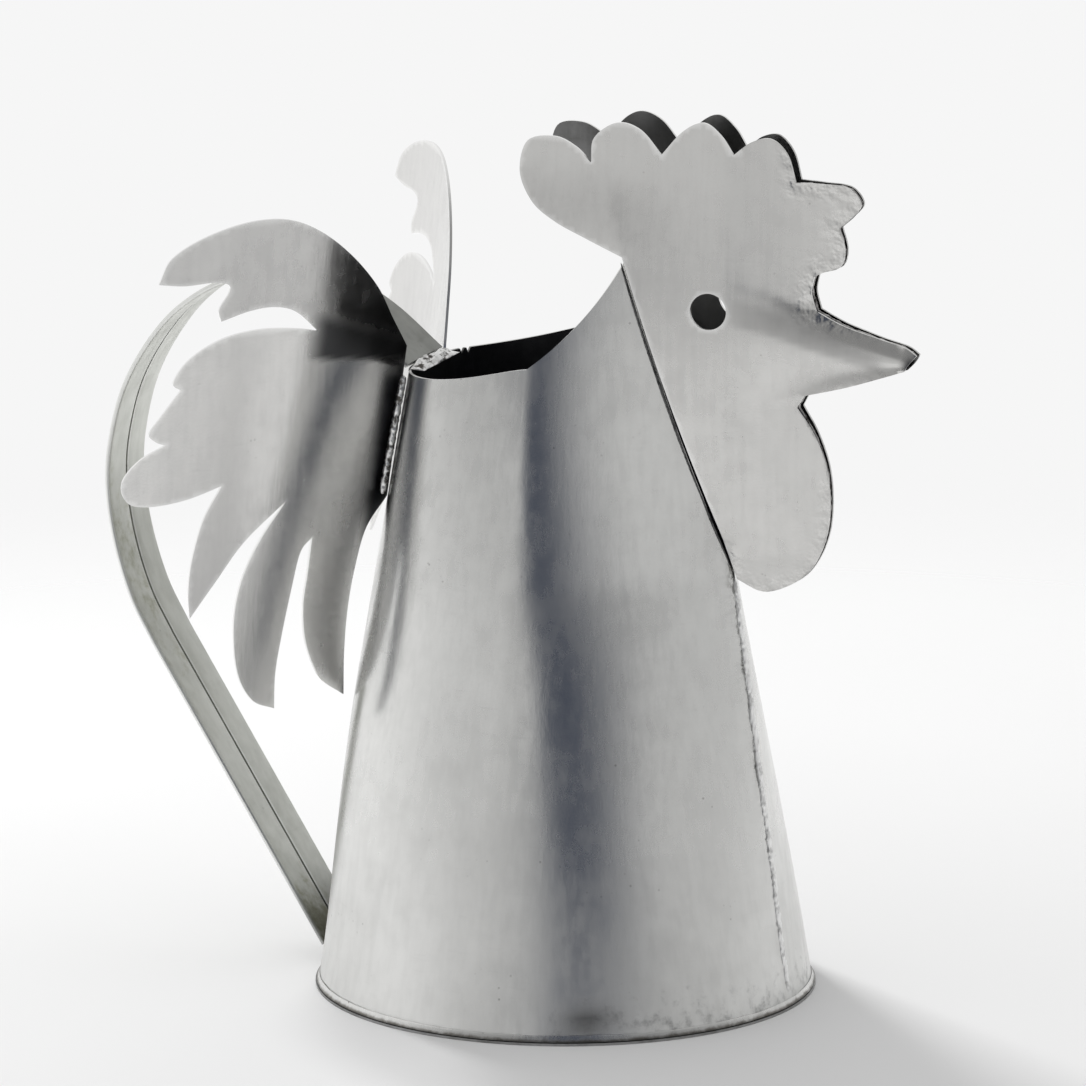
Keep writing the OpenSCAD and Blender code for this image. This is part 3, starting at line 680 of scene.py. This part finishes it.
def ridge_half(x):
    """Half the gap at the crease: it narrows evenly from the eye to the beak."""
    return CHEEK_HALF - TOE_IN * (x - eye[0])


def flat_half(x, z):
    """The gap narrows away from the crease, faster below it. The corner of the crease is
    rounded over a width that runs out towards the beak."""
    d = z - crease_at(x)
    soft = mix(9.0, 0.8, ease((x - eye[0]) / 42))
    bent = np.sqrt(d * d + soft * soft) - soft
    return ridge_half(x) - np.where(d < 0, LOW_IN, UP_IN) * bent


def beak_half(x, z):
    """A lens section: the gap falls with the square of the share of the way to the edge."""
    d = z - crease_at(x)
    top, low = (mix(abs(root[1] - crease_at(root[0])), abs(tip[1] - crease_at(tip[0])),
                    (x - root[0]) / (tip[0] - root[0]))
                for root, tip in ((root_top, tip_top), (root_low, tip_low)))
    t = np.clip(np.abs(d) / np.maximum(np.where(d > 0, top, low), SHEET), 0, 1)
    return EDGE_HALF + (ridge_half(x) - EDGE_HALF) * (1 - t * t)


def seam_x(z):
    """Where the straight seam edge of the head lies at a height."""
    return mix(throat[0], horn[0], (z - throat[1]) / (horn[1] - throat[1]))


def flare_at(z, left):
    """How far the seam edge stands out so that it lies on the body's wedge."""
    zs = np.minimum(z, horn[1])
    xs = seam_x(zs)
    at_seam = front_y(xs, zs, left) + FIT - flat_half(xs, zs)
    return at_seam * (1 - ease((z - horn[1]) / FLARE_FADE))


def head_half(x, z, left):
    """Distance of a sheet's inner face from the middle plane."""
    run = horn - throat
    ahead = ((x - throat[0]) * run[1] - (z - throat[1]) * run[0]) / np.hypot(*run)
    near = (1 - np.clip(ahead / FLARE_L, 0, 1)) ** 1.6
    face = flat_half(x, z) + flare_at(z, left) * near
    share = np.clip((x - FACE_X) / FACE_L, 0, 1)
    share = mix(share, ease(share), 0.4)
    return np.maximum(mix(face, beak_half(x, z), share), EDGE_HALF / 2)


# %% [markdown]
# The two sheets share their triangles and their marks: flux along the soldered edges, a painted
# highlight on the cut edges elsewhere and round the eye, a near black spot at the tip, a streak
# of painted dark reflection from the cheek along the upper half of the beak, and crumpled metal
# at the front of the comb and the foot of the wattle.

# %% Head sheets
flat, tris = fill_outline([head_loop, eye_loop], GRID_STEP)
x, z = flat.T
edge, eye_edge = edge_distance(flat, [head_loop]), edge_distance(flat, [eye_loop])
soldered = bell(edge / 1.1) * ((x > 60) | (z < 150)) * 0.6
# A painted highlight along the cut edges and round the eye.
edge_highlight = bell(edge / 0.4) * (soldered < 0.05) + bell(eye_edge / 0.5)
# A near black spot at the beak's tip.
tip = np.hypot(x - tip_low[0] - 2.5, (z - tip_low[1] - 1.5) * 0.8)
over = z - crease_at(x)
# A streak of painted dark reflection on the upper half of the beak.
dull = ease((over - 0.5 + 0.16 * (x - 70)) / 2.5) * (1 - ease((over - 24 + 0.24 * x) / 4))
dull = 0.28 * dull * ease((x - 53) / 12) * (1 - ease((x - 103) / 5))
rumple = bell(edge / 4.5) * ease((x - 68) / 8) * ease((z - 208) / 8)
low_rumple = 0.6 * bell(edge / 3) * ease((x - 48) / 8) * (z < 165)
masks = {"stain": soldered, "shade": np.maximum(np.exp(-(tip / 2.6) ** 4), dull),
         "rim": edge_highlight, "rumple": np.maximum(rumple, low_rumple)}
for side, name in SIDES:
    half = head_half(x, z, side > 0)
    wave = 0.1 * dents(x / 26, z / 24, 11 + side)
    near = np.stack([x, side * (half + wave + SHEET), z], -1)
    far = np.stack([x, side * (half + wave), z], -1)
    points, faces = two_skins(near, far, tris, side)
    # The inner faces get the dark grey of painted shade.
    hidden = np.repeat([0, 1, 0], [len(g) for g in faces])
    piece = make_piece("head_" + name, points, faces, head_metal, ["head_sheet_" + name],
                       inner=(shaded_between_metal, hidden))
    set_masks(piece, **{key: np.tile(value, 2) for key, value in masks.items()})

# %% [markdown]
# ## The tail
#
# Each half is a fan of feathers, cut flat and rolled to an even bend. The outline lives on the
# flat sheet, as length along the bend and height. Rolling it turns the length into an arc, then
# the whole half leans forward and moves to its seam behind the body. The left half was bent
# flatter than the right one and sits a little lower. The real right half was bent less evenly,
# which shows only in its reflections, so its shading turns and its shape stays even.

# %% Tail outline
TAIL_SHARES = [
    (0, 690, 1), (83, 755), (169, 827), (292, 901), (427, 962), (552, 995), (688, 999),
    (826, 977), (927, 939), (959, 889, 1), (875, 883), (781, 885), (731, 878), (725, 861),
    (751, 829), (739, 805, 1), (646, 820), (560, 822), (480, 806), (389, 760, 1), (472, 772),
    (604, 780), (729, 769), (828, 734), (872, 690), (844, 673, 1), (900, 621), (929, 590),
    (904, 573), (871, 565, 1), (950, 537), (996, 494), (969, 454), (896, 443), (781, 451),
    (664, 472, 1), (712, 406), (733, 326), (731, 262), (715, 210, 1), (644, 277), (557, 354),
    (423, 425, 1), (500, 353), (550, 273), (558, 185), (521, 86), (453, 26), (367, 2, 1),
    (380, 73), (375, 147), (360, 243), (344, 313), (305, 340, 1), (304, 268), (304, 198),
    (271, 120), (193, 45), (82, 0, 1), (104, 83), (115, 169), (108, 252), (79, 335), (0, 390, 1)]
SEAM_LOW, SEAM_SHARE = RIM_Z - SEAM_L, 0.39
tail_loop = smooth_loop([(p[0] / 1000 * TAIL_L, (p[1] / 1000 - SEAM_SHARE) * TAIL_H, *p[2:])
                         for p in TAIL_SHARES], KNOT_STEPS)
print("tail outline:", len(tail_loop), "points")


def lean_of(bend):
    """Forward lean, in degrees: the slope of the body's back, less the angle it stands off."""
    low = SEAM_LOW - bend["drop"]
    fall = back_x(SEAM_Y, low) - back_x(SEAM_Y, RIM_Z)
    return float(np.degrees(np.arctan2(fall, RIM_Z - low))) - bend["open"]


# %% Tail surface
def tail_swing(s, bend):
    """Angle, in radians, by which the shading turns from the even bend: the sheet is flat
    beside the seam and bent a little tighter after it."""
    uneven = np.radians(bend["turn"]) + np.maximum(s - bend["flat"], 0) / bend["tight"]
    return s / bend["radius"] - uneven


def tail_surface(s, rise, bend, side, off):
    """Length s along an even bend, rise over the seam's foot, off to the outside. The bend
    turns with the length, then the half leans forward and moves to its seam."""
    lean, start = np.radians(lean_of(bend)), np.radians(bend["start"])
    turned = start - s / bend["radius"]
    back = bend["radius"] * (np.sin(start) - np.sin(turned))
    out = bend["radius"] * (np.cos(turned) - np.cos(start))
    up = rise / np.cos(lean) - back * np.sin(lean)
    lx = -back + off * np.sin(turned)
    ly = -out - off * np.cos(turned)
    low = SEAM_LOW - bend["drop"]
    seam_back = back_x(SEAM_Y, low) + SHEET / 2 + FIT
    return np.stack([lx * np.cos(lean) + up * np.sin(lean) - seam_back,
                     -side * (ly - SEAM_Y), -lx * np.sin(lean) + up * np.cos(lean) + low], -1)


# %% [markdown]
# Heat stained the sheet beside its seam, and close to the seam both faces carry painted shade
# where the tail meets the body. Above the seam the top feather mirrors the dark mouth of the jug,
# which a mask of painted reflection deepens, and the whole top feather is made a little darker.
# The cut edges carry a painted highlight.

# %% Tail halves
flat, tris = fill_outline([tail_loop], GRID_STEP)
s, rise = flat.T
heat = bell(s / 5) * 0.8 * (rise < 45)
# Painted shade beside the seam, where the tail meets the body.
seam_corner_shade = np.exp(-((s - 4) / 5.5) ** 4) * (1 - ease((rise - 36) / 10))
# A painted reflection of the dark mouth, and the top feather made a little darker.
mouth = (1 - ease((s - 33) / 10)) * ease((rise - 42 - 0.16 * s) / 2)
mouth = mouth * (1 - ease((rise - 46 - 0.38 * s) / 7)) * 0.9
mouth = np.maximum(mouth, 0.16 * ease((rise - 61) / 5))
# A painted highlight along the cut edges.
edge_highlight = bell(edge_distance(flat, [tail_loop]) / 0.4)
for side, name in SIDES:
    bend = BENDS[name]
    wave = 0.08 * dents(s / 17, rise / 26, 21 + side) - 0.15
    near = tail_surface(s, rise, bend, side, wave + SHEET / 2)
    far = tail_surface(s, rise, bend, side, wave - SHEET / 2)
    points, faces = two_skins(near, far, tris, side)
    piece = make_piece("tail_" + name, points, faces, tail_metal, ["tail_half_" + name])
    shade = np.concatenate([np.maximum(seam_corner_shade, mouth * (side < 0)), seam_corner_shade * 0.6])
    set_masks(piece, stain=np.tile(heat, 2), shade=shade, rim=np.tile(edge_highlight, 2),
              swing=np.tile(tail_swing(s, bend), 2))
    print(name, "tail half spans", points.min(0).round(1), "to", points.max(0).round(1))

# %% [markdown]
# ## The handle
#
# A strip with both long edges folded under is stiff and has no sharp edge for the hand. The two
# folds nearly meet in the middle of the inner face. Its section is one closed profile, carried
# along the route of the handle in the middle plane. Patina grows on the inner face, most at the
# lower end. The top end is painted darker as shade, the lower end is darkened too, and the outer
# folded edge and the lip of the slit carry a painted highlight.

# %% Handle
HANDLE_SHARES = [
    (150, 950), (300, 985), (455, 1000), (610, 989), (755, 945), (860, 888), (945, 815),
    (990, 735), (1000, 665), (975, 585), (920, 505), (845, 440)]
FRONT_BEAD, NECK_BEAD, TAIL_BEAD, FOOT_BEAD = 1.1, 0.6, 1.3, 1.2
foot_bead_z = SHEET + 2 * FIT + 2 * FOOT_LIP + FOOT_BEAD / 2
handle_foot_z = foot_bead_z + SHEET + FIT + FOOT_BEAD / 2
handle_start = NECK_BACK - 2 * SHEET
route = smooth_run([(-handle_start, RIM_Z + 2 * SHEET)]
                   + [(-mix(handle_start, HANDLE_REACH, a / 1000), b / 1000 * HANDLE_TOP)
                      for a, b in HANDLE_SHARES], 12)
foot_end = np.array([-back_r(handle_foot_z) - 2 * SHEET - FIT, handle_foot_z])
straight = route[-1] + (foot_end - route[-1]) * np.linspace(0, 1, 41)[1:, None]
route = np.concatenate([route, straight])


def strip_profile(width, slit, sheet):
    """Closed section as (across, inwards): a flat outer face, round folds, a small belly on
    each fold and a slit between them."""
    half, r = width / 2, sheet
    fold = np.linspace(-90, 90, 9)
    outer = [(-half + r, 0), (-half * 0.5, 0), (0, 0), (half * 0.5, 0), (half - r, 0)]
    right = [(half - r + r * np.cos(np.radians(f)), r + r * np.sin(np.radians(f)))
             for f in fold[1:]]
    belly = [(u * half, 2 * sheet + 0.12 * np.sin(np.pi * u)) for u in (0.8, 0.55, 0.3, 0.12)]
    lip = [(slit / 2, 2 * sheet - 0.15), (slit / 2, sheet)]
    one = right + belly + lip
    other = [(-a, b) for a, b in one[::-1]]
    return np.array(outer + one + other[:-1])


def left_of(route):
    """Unit direction to the left of a flat route at each of its points."""
    d = np.gradient(route, axis=0)
    return np.stack([-d[:, 1], d[:, 0]], -1) / np.linalg.norm(d, axis=1)[:, None]


def length_along(path):
    """Length from the start of a path to each of its points."""
    return np.concatenate([[0], np.cumsum(np.linalg.norm(np.diff(path, axis=0), axis=1))])


def sweep_plane(route, profile):
    """The profile carried along a route in the middle plane. Its second value goes to the
    left of the route's direction."""
    p = route[:, None] + left_of(route)[:, None] * profile[:, 1:]
    across = np.broadcast_to(profile[:, 0], p.shape[:2])
    return np.stack([p[..., 0], across, p[..., 1]], -1)


profile = strip_profile(HANDLE_W, FOLD_SLIT, SHEET)
strip = sweep_plane(route, profile)
n, m = strip.shape[:2]
faces = [grid_faces(n, m, True, flip=True), np.arange(m)[None],
         np.arange((n - 1) * m, n * m)[None, ::-1]]
handle = make_piece("handle", strip.reshape(-1, 3), faces, handle_metal, ["handle_strip"],
                    sharp=50)
run = np.repeat(length_along(route), m)
across, inwards = np.tile(profile[:, 0], n), np.tile(profile[:, 1], n)
low_end = bell((run.max() - run - 6) / 14)
patina = 0.28 + 0.2 * (across < 0) + 0.14 * np.sin(run / 23) + 0.35 * low_end
lip = bell((np.abs(across) - FOLD_SLIT / 2) / 0.3) * (across > 0)
fold = bell((across + HANDLE_W / 2) / 0.4)
# The shade mask paints shade at the top end and darkens the lower end; the rim mask paints a
# highlight on the outer fold and the lip of the slit.
set_masks(handle, stain=patina * (inwards > SHEET),
          shade=np.maximum(0.5 * (1 - ease((run - 22) / 14)), 0.55 * low_end),
          rim=np.maximum(lip * (inwards > 1.2 * SHEET), fold))

# %% [markdown]
# ## Solder
#
# Hand-laid solder swells and thins, with lumps where the iron stopped. Each run is a tube along
# its seam, with a radius that seeded waves change over the length and round the tube. The run
# down the front was wiped, so it is flattened.

# %% Solder beads
def make_seam(name, node, material, path, radius, sides, lump, seed, flatten=1.0):
    """A lumpy tube: rings across the path, each point moved out by seeded sines."""
    d = np.gradient(path, axis=0)
    d /= np.linalg.norm(d, axis=1)[:, None]
    ref = np.where(np.abs(d[:, 2:]) > 0.7, [[1.0, 0, 0]], [[0, 0, 1.0]])
    u = np.cross(d, ref)
    u /= np.linalg.norm(u, axis=1)[:, None]
    v = np.cross(d, u)
    a = np.linspace(0, 2 * np.pi, sides, endpoint=False)
    along = length_along(path)[:, None] + 0 * a
    rough = dents(along * 2.1, np.cos(a) * 2 + np.sin(a) * 1.3, seed)
    rough = rough + 0.5 * dents(along * 5.3, np.cos(a + 1) * 3, seed + 50)
    cap = np.sqrt(np.clip(1 - np.abs(np.linspace(-1, 1, len(path))) ** 24, 0.02, 1))
    r = (radius * cap)[:, None] * (1 + lump * rough)
    ring = u[:, None] * np.cos(a)[:, None] + v[:, None] * flatten * np.sin(a)[:, None]
    points = path[:, None] + r[..., None] * ring
    n = len(path)
    faces = [grid_faces(n, sides, True), np.arange(sides)[None, ::-1],
             np.arange((n - 1) * sides, n * sides)[None]]
    make_piece(name, points.reshape(-1, 3), faces, material, [node], 180)


def along_run(low, high, step):
    """Even values from low to high, about a step apart."""
    return np.linspace(low, high, int((high - low) / step))


z = along_run(SHEET + 4.2, THROAT_Z - 1.0, 0.5)
wander = 0.35 * dents(z / 5, z / 9, 31)
path = np.stack([front_r(z) - 0.05, wander, z], -1)
make_seam("front_seam", "front_seam_solder", seam_solder, path, FRONT_BEAD + 0.2, 22, 0.2, 41,
          flatten=0.42)

for side, name in SIDES:
    z = along_run(throat[1] + 3.6, horn[1] - 1.8, 0.5)
    xs = seam_x(z) - NECK_BEAD - 2 * FIT
    path = np.stack([xs, side * (front_y(xs, z, side > 0) + 0.05), z], -1)
    # A thin near black tube: painted shade of the gap under the head sheet's edge.
    make_seam("neck_seam_" + name, "neck_solder_" + name, neck_solder, path, 0.32, 8, 0.12,
              43 + side)

for side, name in SIDES:
    bend = BENDS[name]
    low = SEAM_LOW - bend["drop"]
    z = along_run(low + 2 * SHEET, RIM_Z - SHEET, 0.4)

    def room(y):
        """Gap between the body and the tail half, y from the middle plane."""
        return (back_x(SEAM_Y, low) + FIT - (z - low) * np.tan(np.radians(lean_of(bend)))
                + (y - SEAM_Y) / np.tan(np.radians(bend["start"])) - back_x(y, z))

    growth = (room(SEAM_Y + 4 * SHEET) - room(SEAM_Y)) / (4 * SHEET)
    yb = SEAM_Y + (2.3 * (TAIL_BEAD + FIT) - room(SEAM_Y)) / growth
    path = np.stack([-back_x(yb, z) - room(yb) / 2, side * yb, z], -1)
    make_seam("tail_seam_" + name, "tail_solder_" + name, bright_solder, path, TAIL_BEAD - 0.2,
              18, 0.14, 47 + side)

y = along_run(-HANDLE_W / 2 + 0.6, HANDLE_W / 2 - 0.6, 0.5)
path = np.stack([-back_x(y, foot_bead_z) - FIT - FOOT_BEAD * 0.6, y, foot_bead_z + 0 * y], -1)
make_seam("handle_foot_seam", "handle_foot_solder", dark_solder, path, FOOT_BEAD, 14, 0.25, 53)

# %% [markdown]
# The thin ring of solder round the foot has a ragged upper edge where it crept up the body. It
# is a grid over the angle and a short way up, from the disc's edge to the wall, and is darkest at
# its very bottom. The base disc below it is the solid itself, coloured darker.

# %% Foot ring
a = np.radians(np.linspace(0, 360, 720, endpoint=False))
rag = 1 + 0.55 * dents(np.cos(a) * 31, np.sin(a) * 31, 61)
low = SHEET + FIT
share = np.linspace(0, 1, 8)[:, None]
creep = low + share * (1.6 + 0.25 * rag)
r = FOOT_R + 0.7 * FOOT_LIP * (1 - share) ** 1.5 * np.clip(0.8 + 0.2 * rag, 0.5, 1.0)
r = np.concatenate([r - 0.3 * share, np.full((1, len(a)), FOOT_R - 0.45)])
creep = np.concatenate([creep, np.full((1, len(a)), low)])
foot = np.stack([r * np.cos(a), r * np.sin(a), creep], -1)
rows, first = len(foot), np.arange(len(a))
faces = [grid_faces(rows, len(a), True),
         ring_faces(first + (rows - 1) * len(a), first, flip=True)]
foot_ring = make_piece("foot_ring", foot.reshape(-1, 3), faces, tinned_foot, ["base_solder"],
                       60)
up = foot[..., 2].ravel() - low
# The ring is darkened most at its very bottom, with the shade colour.
set_masks(foot_ring, stain=0.5 * bell(up / 0.9) + 0.42, shade=0.35 * bell(up / 0.45))
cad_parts["base_disc"].data.materials.clear()
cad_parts["base_disc"].data.materials.append(base_metal)

# %% [markdown]
# The front edges of the comb, forehead and wattle are drawn together with solder. It shows as
# an uneven thread between the two cut edges, so it follows the outline in the middle plane.

# %% Edge threads
def outline_run(start_knot, end_knot):
    """The part of the head's outline between two of its knots."""
    return head_loop[start_knot * KNOT_STEPS:end_knot * KNOT_STEPS + 1]


for name, run, node in (("forehead_seam", outline_run(20, 35), "forehead_solder"),
                        ("wattle_seam", outline_run(36, 48), "wattle_solder")):
    run = run - left_of(run) * 0.7
    path = np.stack([run[:, 0], 0 * run[:, 0], run[:, 1]], -1)
    make_seam(name, node, dark_solder, path, 0.55, 8, 0.4, 71)

# %% [markdown]
# Between the tail halves a crumpled patch ties the end of the handle to the rim. It is a grid
# of heights over a small rectangle, rumpled by seeded waves, with its edges turned down.

# %% Handle patch
half_w = SEAM_Y - 2 * SHEET
u, v = np.meshgrid(np.linspace(-1, 1, 61), np.linspace(0, 1, 31))
crumple = dents(u * 5.5, v * 6, 81) + 0.6 * dents(u * 13, v * 11, 82)
px = -handle_start + 0.6 + v * 5.0
edge_fall = (1 - np.abs(u) ** 6) * (1 - (2 * v - 1) ** 6)
pz = RIM_Z + 0.3 + (0.9 + 1.5 * (1 - v) + 0.5 * crumple) * np.clip(edge_fall, 0, 1)
top = np.stack([px, u * half_w, pz], -1)
under = np.stack([px, u * half_w, RIM_Z + 0.2 + 0 * pz], -1)
k, w = u.shape
patch_faces = [grid_faces(k, w), grid_faces(k, w, first=k * w, flip=True)]
border = np.concatenate([np.arange(w), np.arange(1, k) * w + w - 1,
                         (k - 1) * w + np.arange(w - 2, -1, -1), np.arange(k - 2, 0, -1) * w])
patch_faces.append(ring_faces(border, border + k * w))
make_piece("handle_patch", np.concatenate([top.reshape(-1, 3), under.reshape(-1, 3)]),
           patch_faces, bright_solder, ["handle_top_solder"], 60)

# %% [markdown]
# ## Floor, light and camera
#
# The jug stands on a pale sweep. The floor fades into the backdrop's own tone, so there is no
# horizon. Bare metal only looks like metal when it has something to reflect: the studio is
# bright all round, with one dark gap behind the camera that draws the dark stripe on the body.

# %% Floor
bpy.ops.mesh.primitive_plane_add(size=8)
floor = bpy.context.object
floor.name = "floor"
floor_material, tree = new_material("pale_sweep")
spot = own_place(tree)
far_off = add(tree, "ShaderNodeVectorMath", {"operation": "LENGTH"}, i0=spot).outputs["Value"]
cloudy = span(tree, noise(tree, spot, 3.0, 2.0), 0.3, 0.7)
tone = blend(tree, cloudy, (0.8,) * 3, (0.82,) * 3)
finish_material(tree, tone, 0.9, metallic=0.0, Alpha=span(tree, far_off, 0.27, 0.62, 1.0, 0.0))
floor.data.materials.append(floor_material)

# %% [markdown]
# The world is a colour for each direction: brighter towards both sides and below the horizon,
# and darker high up in front. The gap is a band of azimuths with soft ramps. Diffuse light and
# the camera see plain greys, so that the floor and the backdrop stay even.

# %% World
CAMERA_AZIMUTH = -65.0
GAP_BLUE, FILL_GREY, BACKDROP = (0.062, 0.072, 0.1), (0.73,) * 3, (0.922,) * 3
world = bpy.data.worlds.new("studio")
scene.world = world
world.use_nodes = True
wt = world.node_tree
wt.nodes.clear()
view = wt.nodes.new("ShaderNodeTexCoord").outputs["Generated"]
ahead, aside, above = add(wt, "ShaderNodeSeparateXYZ", Vector=view).outputs
azimuth = math(wt, "MULTIPLY", math(wt, "ARCTAN2", aside, ahead), 180 / np.pi)


def between(rise, fall):
    """A band of azimuths: 0 to 1 over the first two, and 1 to 0 over the last two."""
    return math(wt, "MULTIPLY", span(wt, azimuth, *rise), span(wt, azimuth, *fall, 1.0, 0.0))


under = span(wt, above, -0.2, -0.36)
gap = between((CAMERA_AZIMUTH - 22, CAMERA_AZIMUTH - 7), (CAMERA_AZIMUTH + 5, CAMERA_AZIMUTH + 47))
gap = math(wt, "MULTIPLY", gap, math(wt, "SUBTRACT", 1.0, under))
upper = math(wt, "MULTIPLY", span(wt, above, 0.2, 0.45), between((-165.0, -130.0), (0.0, 60.0)))
studio = weighted(wt, (span(wt, azimuth, -92.0, -170.0), 0.33),
                  (span(wt, azimuth, 15.0, 140.0), 0.33), (upper, -0.3),
                  (span(wt, above, 0.12, -0.03), 0.06), (under, 0.2), base=0.6)
lit = add(wt, "ShaderNodeCombineColor", Red=studio, Green=studio, Blue=studio).outputs[0]
path = wt.nodes.new("ShaderNodeLightPath").outputs
lit = blend(wt, path["Is Diffuse Ray"], blend(wt, gap, lit, GAP_BLUE), FILL_GREY)
lit = blend(wt, path["Is Camera Ray"], lit, BACKDROP)
add(wt, "ShaderNodeOutputWorld", Surface=add(wt, "ShaderNodeBackground", Color=lit).outputs[0])
print("world nodes:", len(wt.nodes))

# %% [markdown]
# One square lamp makes the shadow on the floor. The metal doesn't mirror it, because that would
# burn out. The camera stands far off with a very long lens, so that parallel edges stay parallel,
# as the solids were worked out.

# %% Lamp
key = bpy.data.objects.new("key", bpy.data.lights.new("key", "AREA"))
key.data.size, key.data.energy = 0.5, 34.0
key.location = (-1.5, 0.9, 1.5)
key.rotation_euler = (Vector((0, 0, 0.1)) - key.location).to_track_quat("-Z", "Y").to_euler()
key.visible_glossy = False
scene.collection.objects.link(key)

# %% Camera
RIGHT = Vector((0.9063, 0.4226, 0.0))
UP = Vector((-0.1065, 0.2284, 0.9677))
FORWARD = Vector((-0.4090, 0.8771, -0.2520))
AIM = Vector((-0.0202, 0.0271, 0.1272))
DISTANCE, LENS = 12.0, 1326.0
camera = bpy.data.objects.new("camera", bpy.data.cameras.new("camera"))
camera.data.sensor_width, camera.data.lens = 36.0, LENS
turned = Matrix((RIGHT, UP, -FORWARD)).transposed().to_4x4()
camera.matrix_world = Matrix.Translation(AIM - FORWARD * DISTANCE) @ turned
scene.collection.objects.link(camera)
scene.camera = camera
scene.view_settings.view_transform = "Standard"
scene.view_settings.look = "None"
print("camera", DISTANCE, "metres off, lens", LENS)
